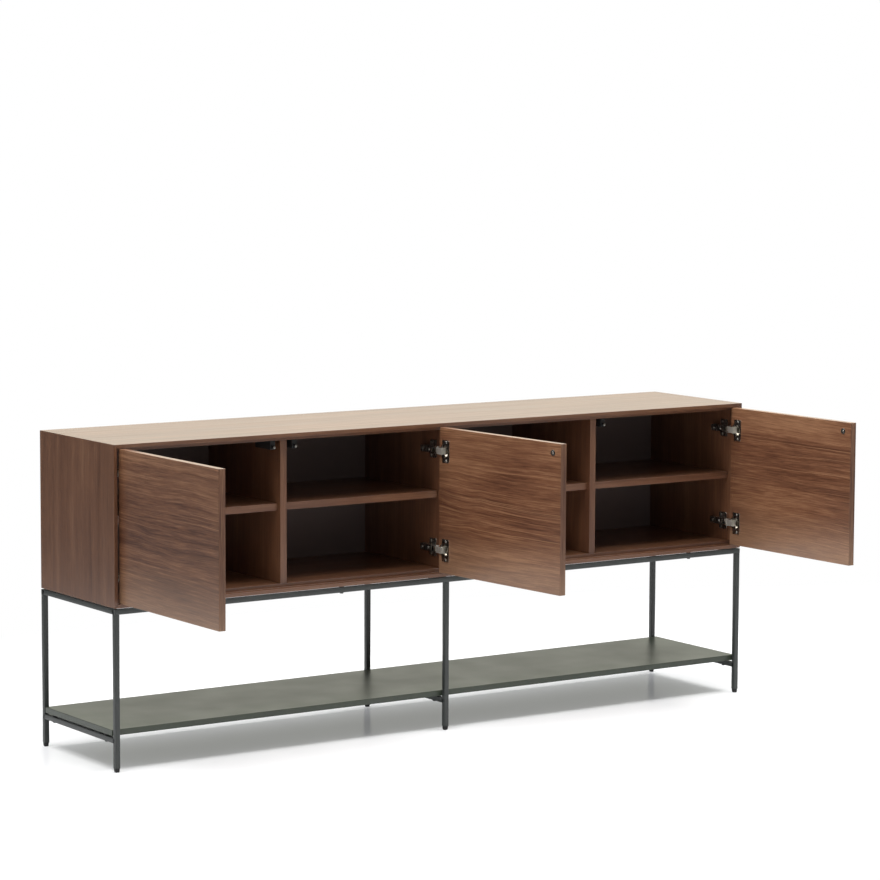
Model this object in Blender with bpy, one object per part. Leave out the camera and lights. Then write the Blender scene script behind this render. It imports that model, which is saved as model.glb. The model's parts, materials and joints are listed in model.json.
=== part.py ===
"""Long, low sideboard: a mitred box with three doors and an open niche, on a square-tube steel base.

Metres, +Z up, +Y towards the back. The origin is on the floor, at the middle of the sole of the
front centre foot. The doors stand open, each at the angle at which it was left, and swing shut
about upright axes. Every piece keeps FIT to the pieces that it touches. Pins, dowels, bolts and
screws are fast in the piece that holds their head, and enter a bore in the piece that they reach.
"""
from math import cos, pi, radians, sin, sqrt

import bmesh
import bpy
from mathutils import Vector

# Clearances
FIT = 0.0003                 # between two pieces that touch
OVERSHOOT = 0.002            # how far a bore's cutter starts outside the face

# The box
WIDTH = 1.950
DEPTH = 0.388
BOX_HEIGHT = 0.400
BOARD = 0.019                # top, bottom, sides and partitions
LIP = 0.0095                 # what is left of a board in front of the doors' edges
REBATE = 0.022               # how deep the front rebate is
BACK_LIP = 0.0095
BACK_REBATE = 0.008
BACK_PANEL = 0.006
CHAMFER = 0.0006             # eased edges of boards
BAYS = 4

# Inner shelves, one to a bay, on four pins each
SHELF = 0.018
SHELF_TOPS = (0.221, 0.221, 0.209, 0.209)   # above the underside of the box
SHELF_END_GAP = 0.001
SHELF_SETBACK = 0.012        # behind the partitions' front edges
SHELF_BACK_GAP = 0.002
PIN_RADIUS = 0.0025
PIN_LENGTH = 0.016
PIN_DEPTH = 0.008            # how far a pin goes into the board
PIN_INSET = 0.045            # from the shelf's front and back edges

# Dowels of the box
DOWEL_RADIUS = 0.004
DOWEL_LENGTH = 0.030
DOWEL_IN_PANEL = 0.011       # the length that lies in the top or the bottom
DOWEL_INSET = 0.060
MITRE_DOWEL_RADIUS = 0.003
MITRE_DOWEL_LENGTH = 0.014
MITRE_DOWEL_PLACE = 0.013    # from the outer faces of both boards
MITRE_DOWELS = 3

# Screws of the back
BACK_SCREW_RADIUS = 0.0016
BACK_SCREW_HEAD = 0.0032
BACK_SCREW_HEAD_THICKNESS = 0.0012
BACK_SCREW_LENGTH = 0.018
BACK_SCREW_INSET = 0.080     # from the top and the underside of the box

# Steel base
BASE_HEIGHT = 0.405          # floor to the underside of the box
TUBE = 0.013
TUBE_WALL = 0.0015
BOX_LIFT = 0.0025            # shadow gap between the base and the box
LOW_RAIL_UNDERSIDE = 0.071
LOW_SHELF = 0.015
LOW_SHELF_LIFT = 0.0045      # gap between the low rails and the low shelf
LOW_SHELF_LEG_GAP = 0.0045
FOOT_HEIGHT = 0.010
FOOT_TOP = 0.0108
FOOT_SOLE = 0.0086
PLUG_LENGTH = 0.012          # how far a foot or a spigot goes into a leg
VENT_RADIUS = 0.002          # paint drain in the underside of each closed tube
VENT_PLACE = 0.030           # from the closed tube's end
BOLT_RADIUS = 0.003
BOLT_HEAD = 0.005
BOLT_HEAD_THICKNESS = 0.003
BOX_BOLT_DEPTH = 0.0075      # how far a bolt goes into the lips of the box
SHELF_BOLT_DEPTH = 0.010
SPACER_RADIUS = 0.006
BOX_BOLTS = (-0.80, -0.32, 0.32, 0.80)      # places along the front and back rails
SHELF_BOLT_INSET = 0.050     # behind or before a leg's middle

# Doors
DOOR = 0.018
DOOR_GAP = 0.0015            # between a door and the lip round it
DOOR_JOINT = 0.003           # between two doors over one partition
PIVOT_INSET = 0.0045         # from the door's edge to its turning axis
OPEN_LEFT = 90.0             # degrees, as they stand
OPEN_MIDDLE = 94.5
OPEN_RIGHT = 91.5

# Concealed hinges
HINGE_FROM_END = 0.0605      # from a door's top or bottom edge
CUP_CENTRE = 0.0225          # from the door's hinge edge
CUP_RADIUS = 0.0175
CUP_DEPTH = 0.0115
CUP_WALL = 0.0022
CUP_FLOOR = 0.0013
CUP_RIM = 0.019
FLANGE = 0.0012
FLANGE_HEIGHT = 0.059
FLANGE_NEAR = 0.009          # before the cup's middle
FLANGE_FAR = 0.019           # past the cup's middle
FLANGE_CORNER = 0.006
CUP_SCREW_PITCH = 0.048
CUP_SCREW_OFFSET = 0.006
CUP_SCREW_RADIUS = 0.0018
CUP_SCREW_HEAD = 0.0034
CUP_SCREW_DEPTH = 0.012
SCREW_HEAD_THICKNESS = 0.0018
ARM_LIFT = 0.002             # underside of the arm above the panel
ARM_TOP = 0.017
ARM_HALF = 0.0085
ARM_WALL = 0.0015
ARM_FRONT = 0.0205           # behind the front of the box
ARM_BACK = 0.088
ARM_NOSE = 0.0095            # how far the nose slopes back
ARM_MOUTH = 0.036            # where the arm's outer wall starts
ARM_PIVOT_LIFT = 0.008       # link's pin above the panel
ARM_PIVOT_DEPTH = 0.024      # link's pin behind the front of the box
LINK_PIN_RADIUS = 0.0015
LINK_PIN_OVERHANG = 0.0006
LINK_HALF = 0.0011
LINK_EYE = 0.0032
LINK_WIDE = 0.0082
LINK_NARROW = 0.0064
LINK_NECK = 0.0135           # the narrow stretch that swings between the cheeks
LINK_BEND_A = (0.013, -0.015)               # from the pin, with the door at a right angle
LINK_BEND_B = (0.016, -0.038)
LINK_TIP = (0.002, -0.0365)
PLATE = 0.0014
PLATE_FRONT = 0.034
PLATE_BACK = 0.090
WING_HALF = 0.0235
WING_BEFORE = 0.023          # before and behind the plate's screws
WING_BEHIND = 0.008
RAIL_HEIGHT = 0.0055
PLATE_SCREW_FROM_EDGE = 0.037               # behind the board's front edge
PLATE_SCREW_PITCH = 0.032
PLATE_SCREW_RADIUS = 0.0018
PLATE_SCREW_HEAD = 0.0036
PLATE_SCREW_DEPTH = 0.008
ARM_SCREW_RADIUS = 0.0022
ARM_SCREW_HEAD = 0.0036
ARM_SCREWS = (0.050, 0.078)
CHEEK_BEFORE = 0.010         # the cup's cheeks, from the cup's middle to the hinge edge
CHEEK_BEHIND = 0.0015

# Push latches under the top, and their striker discs on the doors
STRIKER_INSET = 0.030        # from the door's free edge
STRIKER_DROP = 0.024         # from the door's top edge
STRIKER_RADIUS = 0.0075
STRIKER = 0.0018
STRIKER_SCREW_DEPTH = 0.010
LATCH_PER_RADIAN = 0.005     # how far the plunger goes in for each radian that the door swings shut
LATCH_LENGTH = 0.074
LATCH_FRONT = 0.0215         # behind the front of the box
LATCH_HALF_WIDTH = 0.0068
LATCH_BELOW = 0.0062         # housing under the plunger's axis
PLUNGER_RADIUS = 0.0044
PLUNGER_IN_HOUSING = 0.030
PLUNGER_CHAMFER = 0.0008
LATCH_BORE_SPARE = 0.012     # room behind the plunger
LATCH_EAR = 0.0025
LATCH_EAR_LENGTH = 0.016
LATCH_SCREW_RADIUS = 0.0015
LATCH_SCREW_HEAD = 0.0030
LATCH_SCREW_DEPTH = 0.010

# Facets of round pieces
FEW = 6
SOME = 12
MANY = 20

# Places worked out from the sizes
FRONT = -TUBE / 2
BACK = FRONT + DEPTH
UNDERSIDE = BASE_HEIGHT
TOP = UNDERSIDE + BOX_HEIGHT
HALF = WIDTH / 2
STEP = FRONT + REBATE                        # front edges of the partitions
BACK_STEP = BACK - BACK_REBATE
PITCH = (WIDTH - 2 * LIP) / BAYS
PARTITIONS = [-HALF + LIP + PITCH * (i + 1) for i in range(BAYS - 1)]
FLOOR_OF_BOX = UNDERSIDE + BOARD
CEILING = TOP - BOARD
DOOR_WIDTH = PITCH - DOOR_GAP - DOOR_JOINT / 2
DOOR_HEIGHT = BOX_HEIGHT - 2 * (LIP + DOOR_GAP)
DOOR_MIDDLE = UNDERSIDE + BOX_HEIGHT / 2
DOOR_TOP = DOOR_MIDDLE + DOOR_HEIGHT / 2
HINGE_RISE = DOOR_HEIGHT / 2 - HINGE_FROM_END
FRAME_TOP = BASE_HEIGHT - BOX_LIFT
RAIL_BOTTOM = FRAME_TOP - TUBE
LOW_RAIL_TOP = LOW_RAIL_UNDERSIDE + TUBE
LOW_SHELF_UNDERSIDE = LOW_RAIL_TOP + LOW_SHELF_LIFT
LOW_SHELF_TOP = LOW_SHELF_UNDERSIDE + LOW_SHELF
LATCH_HEIGHT = DOOR_TOP - STRIKER_DROP
STRIKER_FACE = FRONT + DOOR + STRIKER + FIT  # closed striker's face, behind the front

# Name, side that its free edge swings from, x of its closed hinge edge, x of the board face
# that carries its hinges, and the angle at which it stands
DOORS = (
    ("left", 1, -HALF + LIP + DOOR_GAP, -HALF + BOARD, OPEN_LEFT),
    ("middle", -1, PARTITIONS[1] - DOOR_JOINT / 2, PARTITIONS[1] - BOARD / 2, OPEN_MIDDLE),
    ("right", -1, HALF - LIP - DOOR_GAP, HALF - BOARD, OPEN_RIGHT),
)
HINGE_BOARDS = {"left": "left_side_panel", "middle": "partition_centre", "right": "right_side_panel"}
LEVELS = ((-1, "lower"), (1, "upper"))
PARTITION_NAMES = ("partition_left", "partition_centre", "partition_right")

for old in list(bpy.data.objects):
    bpy.data.objects.remove(old, do_unlink=True)


def material(name, colour, roughness, metallic=0.0):
    """One Principled material in the piece's own colour."""
    made = bpy.data.materials.new(name)
    made.use_nodes = True
    shader = made.node_tree.nodes["Principled BSDF"]
    shader.inputs["Base Color"].default_value = (*colour, 1.0)
    shader.inputs["Roughness"].default_value = roughness
    shader.inputs["Metallic"].default_value = metallic
    return made


WALNUT = material("walnut_veneer", (0.17, 0.075, 0.04), 0.45)
WALNUT_DOOR = material("walnut_door", (0.19, 0.09, 0.05), 0.45)
STEEL = material("dark_painted_steel", (0.055, 0.058, 0.056), 0.45)
SHELF_PAINT = material("grey_shelf_paint", (0.16, 0.17, 0.155), 0.4)
NICKEL = material("nickel_plated_steel", (0.62, 0.60, 0.56), 0.25, 1.0)
BLACK = material("black_plastic", (0.012, 0.012, 0.012), 0.45)
ZINC = material("zinc_plated_steel", (0.5, 0.5, 0.5), 0.35, 1.0)


def add_box(shape, low, high, chamfer=0.0):
    """A box from corner to corner, with its twelve edges eased if asked."""
    low, high = Vector(low), Vector(high)
    verts = bmesh.ops.create_cube(shape, size=1.0)["verts"]
    for v in verts:
        v.co = Vector((low[i] + (v.co[i] + 0.5) * (high[i] - low[i]) for i in range(3)))
    if chamfer:
        edges = {e for v in verts for e in v.link_edges}
        bmesh.ops.bevel(shape, geom=list(edges), offset=chamfer, segments=1, affect="EDGES")


def add_prism(shape, outline, low, high, axis="z"):
    """An outline of (u, v) points pushed along an axis; u and v are the other two axes in order."""
    places = {"x": lambda u, v, w: (w, u, v), "y": lambda u, v, w: (u, w, v), "z": lambda u, v, w: (u, v, w)}
    place = places[axis]
    near = [shape.verts.new(place(u, v, low)) for u, v in outline]
    far = [shape.verts.new(place(u, v, high)) for u, v in outline]
    shape.faces.new(near)
    shape.faces.new(far)
    for i in range(len(outline)):
        j = (i + 1) % len(outline)
        shape.faces.new((near[i], near[j], far[j], far[i]))


def add_turned(shape, start, axis, profile, sides=FEW):
    """A round body: rings of (distance along the axis, radius), with both ends closed."""
    turn = Vector((0, 0, 1)).rotation_difference(Vector(axis)).to_matrix()
    rings = []
    for distance, radius in profile:
        ring = []
        for i in range(sides):
            angle = 2 * pi * (i + 0.5) / sides
            ring.append(shape.verts.new(Vector(start) + turn @ Vector(
                (radius * cos(angle), radius * sin(angle), distance))))
        rings.append(ring)
    for lower, upper in zip(rings, rings[1:]):
        for i in range(sides):
            j = (i + 1) % sides
            shape.faces.new((lower[i], lower[j], upper[j], upper[i]))
    shape.faces.new(rings[0])
    shape.faces.new(rings[-1])


def add_rod(shape, start, axis, length, radius, sides=FEW):
    add_turned(shape, start, axis, ((0.0, radius), (length, radius)), sides)


def add_screw(shape, seat, axis, head, thickness, radius, length):
    """A screw whose head stands on a face at its seat, sunk a little, and whose shank runs along the axis."""
    sink = thickness * 0.3
    profile = ((-thickness, head * 0.7), (thickness * -0.6, head), (sink, head), (sink, radius),
               (length - radius, radius), (length, radius * 0.4))
    add_turned(shape, seat, axis, profile)


def stroke(points, half):
    """The outline of a bent strip: its line of points widened by half on both sides."""
    sides = ([], [])
    for i, point in enumerate(points):
        here = Vector(point)
        before = (here - Vector(points[i - 1])).normalized() if i else None
        after = (Vector(points[i + 1]) - here).normalized() if i < len(points) - 1 else None
        along = (before or after) if not (before and after) else (before + after).normalized()
        reach = half / (along.dot(before) if before and after else 1.0)
        normal = Vector((-along.y, along.x)) * reach
        sides[0].append(tuple(here + normal))
        sides[1].append(tuple(here - normal))
    return sides[0] + sides[1][::-1]


def finish_mesh(shape, name):
    bmesh.ops.recalc_face_normals(shape, faces=shape.faces)
    mesh = bpy.data.meshes.new(name)
    shape.to_mesh(mesh)
    shape.free()
    return mesh


def new_object(name, mesh, surface=None, parent=None, location=(0, 0, 0), rotation=(0, 0, 0), smooth=False):
    made = bpy.data.objects.new(name, mesh)
    bpy.context.scene.collection.objects.link(made)
    made.parent = parent
    made.location = location
    made.rotation_euler = rotation
    if surface:
        mesh.materials.clear()
        mesh.materials.append(surface)
    if smooth:
        mesh.shade_smooth()
        mesh.set_sharp_from_angle(angle=radians(35))
    return made


def node(name, shape, surface, **place):
    return new_object(name, finish_mesh(shape, name), surface, **place)


def combine(target, shape, operation="DIFFERENCE"):
    """Cuts a shape from an object, or joins it on, in the object's own space."""
    label = f"{target.name}_{operation.lower()}_{len(target.modifiers)}"
    tool = new_object(label, finish_mesh(shape, label), parent=target.parent,
                      location=target.location, rotation=target.rotation_euler)
    tool.hide_render = True
    tool.display_type = "WIRE"
    step = target.modifiers.new(label, "BOOLEAN")
    step.operation = operation
    step.solver = "EXACT"
    step.object = tool


def baked(target):
    """The object's mesh after its modifiers; the object and its tools are then removed."""
    bpy.context.view_layer.update()
    mesh = bpy.data.meshes.new_from_object(target.evaluated_get(bpy.context.evaluated_depsgraph_get()))
    for step in target.modifiers:
        bpy.data.objects.remove(step.object, do_unlink=True)
    bpy.data.objects.remove(target, do_unlink=True)
    return mesh


def baked_shape(target):
    """The same, as a shape to cut with."""
    shape = bmesh.new()
    shape.from_mesh(baked(target))
    return shape


STUDS = {}                   # name of a piece -> the pins, dowels and screws that are fast in it
BORES = {}                   # name of a piece -> the holes that are cut in it


def studs(name):
    if name not in STUDS:
        STUDS[name] = bmesh.new()
    return STUDS[name]


def bore(name, start, axis, depth, radius, sides=FEW):
    """Notes a round hole that starts on a face; it is cut once every piece is made."""
    if name not in BORES:
        BORES[name] = bmesh.new()
    axis = Vector(axis)
    add_rod(BORES[name], Vector(start) - axis * OVERSHOOT, axis, depth + OVERSHOOT, radius, sides)


def join_studs_and_cut_bores():
    for name, shape in STUDS.items():
        combine(bpy.data.objects[name], shape, "UNION")
    for name, shape in BORES.items():
        combine(bpy.data.objects[name], shape)


# The mitred box

def board_profile():
    """Section of a box board as (y, distance from its outer face), rebated front and back."""
    return (
        (FRONT + CHAMFER, 0.0), (FRONT, CHAMFER), (FRONT, LIP - CHAMFER), (FRONT + CHAMFER, LIP),
        (STEP, LIP), (STEP, BOARD - CHAMFER), (STEP + CHAMFER, BOARD), (BACK_STEP, BOARD),
        (BACK_STEP, BACK_LIP), (BACK, BACK_LIP), (BACK, CHAMFER), (BACK - CHAMFER, 0.0),
    )


def mitred_board(name, half_length, place):
    """A board with both ends mitred: each line of the section runs as far as its depth allows."""
    shape = bmesh.new()
    slack = FIT / 2 * sqrt(2)
    ends = []
    for side in (-1, 1):
        ends.append([shape.verts.new(place(side * (half_length - deep - slack), y, deep))
                     for y, deep in board_profile()])
    shape.faces.new(ends[0])
    shape.faces.new(ends[1])
    for i in range(len(ends[0])):
        j = (i + 1) % len(ends[0])
        shape.faces.new((ends[0][i], ends[0][j], ends[1][j], ends[1][i]))
    return node(name, shape, WALNUT)


def make_box():
    half_height = BOX_HEIGHT / 2
    mitred_board("top_panel", HALF, lambda along, y, deep: (along, y, TOP - deep))
    mitred_board("bottom_panel", HALF, lambda along, y, deep: (along, y, UNDERSIDE + deep))
    mitred_board("left_side_panel", half_height, lambda along, y, deep: (-HALF + deep, y, DOOR_MIDDLE + along))
    mitred_board("right_side_panel", half_height, lambda along, y, deep: (HALF - deep, y, DOOR_MIDDLE + along))
    for name, x in zip(PARTITION_NAMES, PARTITIONS):
        shape = bmesh.new()
        low, high = x - BOARD / 2, x + BOARD / 2
        outline = ((low, BACK_STEP), (low, STEP + CHAMFER), (low + CHAMFER, STEP),
                   (high - CHAMFER, STEP), (high, STEP + CHAMFER), (high, BACK_STEP))
        add_prism(shape, outline, FLOOR_OF_BOX + FIT, CEILING - FIT)
        node(name, shape, WALNUT)


def add_mitre_dowels():
    """Short dowels square to the mitres, fast in the side boards."""
    first = STEP + DOWEL_INSET / 2
    last = BACK_STEP - DOWEL_INSET / 2
    for side, panel in ((-1, "left_side_panel"), (1, "right_side_panel")):
        for up, plate, edge in ((-1, "bottom_panel", UNDERSIDE), (1, "top_panel", TOP)):
            away = Vector((-side, 0, up)) / sqrt(2)
            for i in range(MITRE_DOWELS):
                y = first + (last - first) * i / (MITRE_DOWELS - 1)
                centre = Vector((side * (HALF - MITRE_DOWEL_PLACE), y, edge - up * MITRE_DOWEL_PLACE))
                half = MITRE_DOWEL_LENGTH / 2
                add_rod(studs(panel), centre - away * half, away, MITRE_DOWEL_LENGTH, MITRE_DOWEL_RADIUS)
                bore(plate, centre, away, half + FIT, MITRE_DOWEL_RADIUS + FIT)


def add_partition_dowels():
    for name, x in zip(PARTITION_NAMES, PARTITIONS):
        for y in (STEP + DOWEL_INSET, BACK_STEP - DOWEL_INSET):
            for up, face, plate in ((1, CEILING, "top_panel"), (-1, FLOOR_OF_BOX, "bottom_panel")):
                axis = Vector((0, 0, up))
                foot = Vector((x, y, face)) - axis * (DOWEL_LENGTH - DOWEL_IN_PANEL)
                add_rod(studs(name), foot, axis, DOWEL_LENGTH, DOWEL_RADIUS)
                bore(plate, (x, y, face), axis, DOWEL_IN_PANEL + FIT, DOWEL_RADIUS + FIT)


def make_backs():
    """Two thin backs in the rear rebate, meeting over the centre partition, with their screws."""
    middle = PARTITIONS[1]
    edge = HALF - BACK_LIP - FIT
    near = BACK_STEP + FIT
    far = near + BACK_PANEL
    spans = (("back_panel_left", -edge, middle - FIT / 2, "left_side_panel", "partition_left", -1),
             ("back_panel_right", middle + FIT / 2, edge, "right_side_panel", "partition_right", 1))
    for name, low, high, side_board, partition, side in spans:
        shape = bmesh.new()
        add_box(shape, (low, near, UNDERSIDE + BACK_LIP + FIT), (high, far, TOP - BACK_LIP - FIT))
        node(name, shape, WALNUT)
        columns = ((side * (HALF - (BOARD + BACK_LIP) / 2), side_board),
                   (PARTITIONS[0] if side < 0 else PARTITIONS[2], partition),
                   (middle + side * BOARD / 4, "partition_centre"))
        for x, board in columns:
            for z in (UNDERSIDE + BACK_SCREW_INSET, TOP - BACK_SCREW_INSET):
                add_screw(studs(name), (x, far, z), (0, -1, 0), BACK_SCREW_HEAD, BACK_SCREW_HEAD_THICKNESS,
                          BACK_SCREW_RADIUS, BACK_SCREW_LENGTH)
                bore(board, (x, BACK_STEP, z), (0, -1, 0), BACK_SCREW_LENGTH - BACK_PANEL,
                     BACK_SCREW_RADIUS + FIT)


def bay_walls(i):
    """x of the two faces that a bay lies between, and the boards that they belong to."""
    names = ("left_side_panel", *PARTITION_NAMES, "right_side_panel")
    middles = (BOARD / 2 - HALF, *PARTITIONS, HALF - BOARD / 2)
    return middles[i] + BOARD / 2, middles[i + 1] - BOARD / 2, names[i], names[i + 1]


def make_inner_shelves():
    """One shelf to a bay, resting on two pins in each of the boards beside it."""
    for i in range(BAYS):
        low, high, left_board, right_board = bay_walls(i)
        top = UNDERSIDE + SHELF_TOPS[i]
        bottom = top - SHELF
        front = STEP + SHELF_SETBACK
        back = BACK_STEP - SHELF_BACK_GAP
        shape = bmesh.new()
        outline = ((front, bottom + CHAMFER), (front, top - CHAMFER), (front + CHAMFER, top),
                   (back, top), (back, bottom), (front + CHAMFER, bottom))
        add_prism(shape, outline, low + SHELF_END_GAP, high - SHELF_END_GAP, "x")
        node(f"inner_shelf_{i + 1}", shape, WALNUT)
        for y in (front + PIN_INSET, back - PIN_INSET):
            z = bottom - FIT - PIN_RADIUS
            for x, way, board in ((low, 1, left_board), (high, -1, right_board)):
                add_rod(studs(board), (x - way * PIN_DEPTH, y, z), (way, 0, 0), PIN_LENGTH, PIN_RADIUS)


# The steel base: a flat top frame on three pairs of legs, each pair held by a low rail

def make_top_frame():
    """Closed tubes welded to a ladder, with spigots for the legs and bolts that hold the box."""
    middle = TUBE / 2
    shape = bmesh.new()
    add_box(shape, (-HALF, FRONT, RAIL_BOTTOM), (HALF, BACK, FRAME_TOP))
    frame = node("base_top_frame", shape, STEEL)
    windows = bmesh.new()
    blocks = bmesh.new()
    for low, high in ((-HALF + TUBE, -middle), (middle, HALF - TUBE)):
        add_box(windows, (low, FRONT + TUBE, RAIL_BOTTOM - OVERSHOOT), (high, BACK - TUBE, FRAME_TOP + OVERSHOOT))
        add_box(blocks, (low - TUBE_WALL, FRONT + TUBE - TUBE_WALL, RAIL_BOTTOM),
                (high + TUBE_WALL, BACK - TUBE + TUBE_WALL, FRAME_TOP))
    combine(frame, windows)
    inside = bmesh.new()
    add_box(inside, (TUBE_WALL - HALF, FRONT + TUBE_WALL, RAIL_BOTTOM + TUBE_WALL),
            (HALF - TUBE_WALL, BACK - TUBE_WALL, FRAME_TOP - TUBE_WALL))
    hollow = node("frame_hollow", inside, STEEL)
    combine(hollow, blocks)
    combine(frame, baked_shape(hollow))
    for x in (-HALF + VENT_PLACE, HALF - VENT_PLACE):
        bore("base_top_frame", (x, FRONT + middle, RAIL_BOTTOM), (0, 0, 1), TUBE / 2, VENT_RADIUS)
    fast = studs("base_top_frame")
    spigot = middle - TUBE_WALL - FIT
    for x, y in leg_places():
        add_box(fast, (x - spigot, y - spigot, RAIL_BOTTOM - PLUG_LENGTH),
                (x + spigot, y + spigot, RAIL_BOTTOM + TUBE_WALL / 2))
    for y in (FRONT + middle, BACK - middle):
        for x in BOX_BOLTS:
            add_bolt(fast, (x, y, RAIL_BOTTOM), BOX_LIFT, BOX_BOLT_DEPTH)
            bore("bottom_panel", (x, y, UNDERSIDE), (0, 0, 1), BOX_BOLT_DEPTH + FIT, BOLT_RADIUS + FIT)


def add_bolt(shape, start, lift, depth):
    """A bolt up through a tube from its underside, with a spacer that holds what it carries off the tube."""
    under = TUBE_WALL / 2
    profile = (
        (-BOLT_HEAD_THICKNESS, BOLT_HEAD * 0.8), (BOLT_HEAD_THICKNESS * -0.6, BOLT_HEAD), (under, BOLT_HEAD),
        (under, BOLT_RADIUS), (TUBE - under, BOLT_RADIUS), (TUBE - under, SPACER_RADIUS),
        (TUBE + lift - FIT, SPACER_RADIUS), (TUBE + lift - FIT, BOLT_RADIUS), (TUBE + lift + depth, BOLT_RADIUS))
    add_turned(shape, start, (0, 0, 1), profile)


def leg_rows():
    """x of each pair of legs, with its name."""
    return (("left", TUBE / 2 - HALF), ("centre", 0.0), ("right", HALF - TUBE / 2))


def leg_places():
    return [(x, y) for _, x in leg_rows() for y in (FRONT + TUBE / 2, BACK - TUBE / 2)]


def make_leg_frames():
    half = TUBE / 2
    sole = FOOT_HEIGHT + FIT
    head = RAIL_BOTTOM - FIT
    for name, x in leg_rows():
        shape = bmesh.new()
        outline = ((FRONT, sole), (FRONT + TUBE, sole), (FRONT + TUBE, LOW_RAIL_UNDERSIDE),
                   (BACK - TUBE, LOW_RAIL_UNDERSIDE), (BACK - TUBE, sole), (BACK, sole), (BACK, head),
                   (BACK - TUBE, head), (BACK - TUBE, LOW_RAIL_TOP), (FRONT + TUBE, LOW_RAIL_TOP),
                   (FRONT + TUBE, head), (FRONT, head))
        add_prism(shape, outline, x - half, x + half, "x")
        label = f"{name}_leg_frame"
        frame = node(label, shape, STEEL)
        hollow = bmesh.new()
        inner = half - TUBE_WALL
        for y in (FRONT + half, BACK - half):
            add_box(hollow, (x - inner, y - inner, sole - OVERSHOOT), (x + inner, y + inner, head + OVERSHOOT))
        add_box(hollow, (x - inner, FRONT + TUBE, LOW_RAIL_UNDERSIDE + TUBE_WALL),
                (x + inner, BACK - TUBE, LOW_RAIL_TOP - TUBE_WALL))
        combine(frame, hollow)
        bore(label, (x, FRONT + TUBE + VENT_PLACE, LOW_RAIL_UNDERSIDE), (0, 0, 1), half, VENT_RADIUS)
        for y in (FRONT + half + SHELF_BOLT_INSET, BACK - half - SHELF_BOLT_INSET):
            add_bolt(studs(label), (x, y, LOW_RAIL_UNDERSIDE), LOW_SHELF_LIFT, SHELF_BOLT_DEPTH)
            bore("low_shelf", (x, y, LOW_SHELF_UNDERSIDE), (0, 0, 1), SHELF_BOLT_DEPTH + FIT, BOLT_RADIUS + FIT)


def make_feet():
    """Tapered square plugs in the ends of the legs."""
    plug = TUBE / 2 - TUBE_WALL - FIT
    rings = ((0.0, FOOT_SOLE / 2), (FOOT_HEIGHT * 0.55, FOOT_TOP / 2), (FOOT_HEIGHT, FOOT_TOP / 2),
             (FOOT_HEIGHT, plug), (FOOT_HEIGHT + PLUG_LENGTH, plug))
    shape = bmesh.new()
    add_turned(shape, (0, 0, 0), (0, 0, 1), [(z, r * sqrt(2)) for z, r in rings], 4)
    mesh = finish_mesh(shape, "foot")
    for name, x in leg_rows():
        for row, y in (("front", FRONT + TUBE / 2), ("back", BACK - TUBE / 2)):
            new_object(f"foot_{row}_{name}", mesh, BLACK, location=(x, y, 0))


def make_low_shelf():
    shape = bmesh.new()
    gap = TUBE + LOW_SHELF_LEG_GAP
    add_box(shape, (-HALF, FRONT + gap, LOW_SHELF_UNDERSIDE), (HALF, BACK - gap, LOW_SHELF_TOP), CHAMFER)
    node("low_shelf", shape, SHELF_PAINT)


# Doors: each is drawn shut and hinged left, from its turning axis, and its empty turns it open

def turning_axis(name, location, angle):
    axis = bpy.data.objects.new(name, None)
    bpy.context.scene.collection.objects.link(axis)
    axis.location = location
    axis.rotation_euler = (0, 0, radians(angle))
    return axis


def half_turn(side):
    """A hinged-right piece is the hinged-left one turned half round its own Y axis."""
    return (0, 0, 0) if side > 0 else (0, pi, 0)


def make_cup_mesh():
    """A hinge cup from its middle, with the door's inner face at y = 0: flange, screws and cheeks."""
    cup = bmesh.new()
    add_turned(cup, (0, 0, 0), (0, 1, 0), (
        (-CUP_DEPTH, CUP_RADIUS), (FIT, CUP_RADIUS), (FIT, CUP_RIM), (FIT + FLANGE, CUP_RIM)), MANY)
    body = node("cup_blank", cup, NICKEL)
    wings = bmesh.new()
    near, far, up, corner = -FLANGE_NEAR, FLANGE_FAR, FLANGE_HEIGHT / 2, FLANGE_CORNER
    outline = ((near, -up), (far - corner, -up), (far, corner - up), (far, up - corner),
               (far - corner, up), (near, up))
    add_prism(wings, outline, FIT, FIT + FLANGE, "y")
    combine(body, wings, "UNION")
    opening = bmesh.new()
    add_rod(opening, (0, CUP_FLOOR - CUP_DEPTH, 0), (0, 1, 0), CUP_DEPTH + FLANGE + OVERSHOOT,
            CUP_RADIUS - CUP_WALL, MANY)
    hollow = node("cup_hollow", opening, NICKEL)
    cheeks = bmesh.new()
    inner = LINK_WIDE + FIT
    for low, high in ((-CUP_RADIUS, -inner), (inner, CUP_RADIUS)):
        add_box(cheeks, (-CHEEK_BEFORE, -CUP_DEPTH, low), (CHEEK_BEHIND, FIT + FLANGE, high))
    combine(hollow, cheeks)
    combine(body, baked_shape(hollow))
    screws = bmesh.new()
    for up in (-1, 1):
        add_screw(screws, (CUP_SCREW_OFFSET, FIT + FLANGE, up * CUP_SCREW_PITCH / 2), (0, -1, 0),
                  CUP_SCREW_HEAD, SCREW_HEAD_THICKNESS, CUP_SCREW_RADIUS, FLANGE + CUP_SCREW_DEPTH)
    combine(body, screws, "UNION")
    return baked(body)


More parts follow.
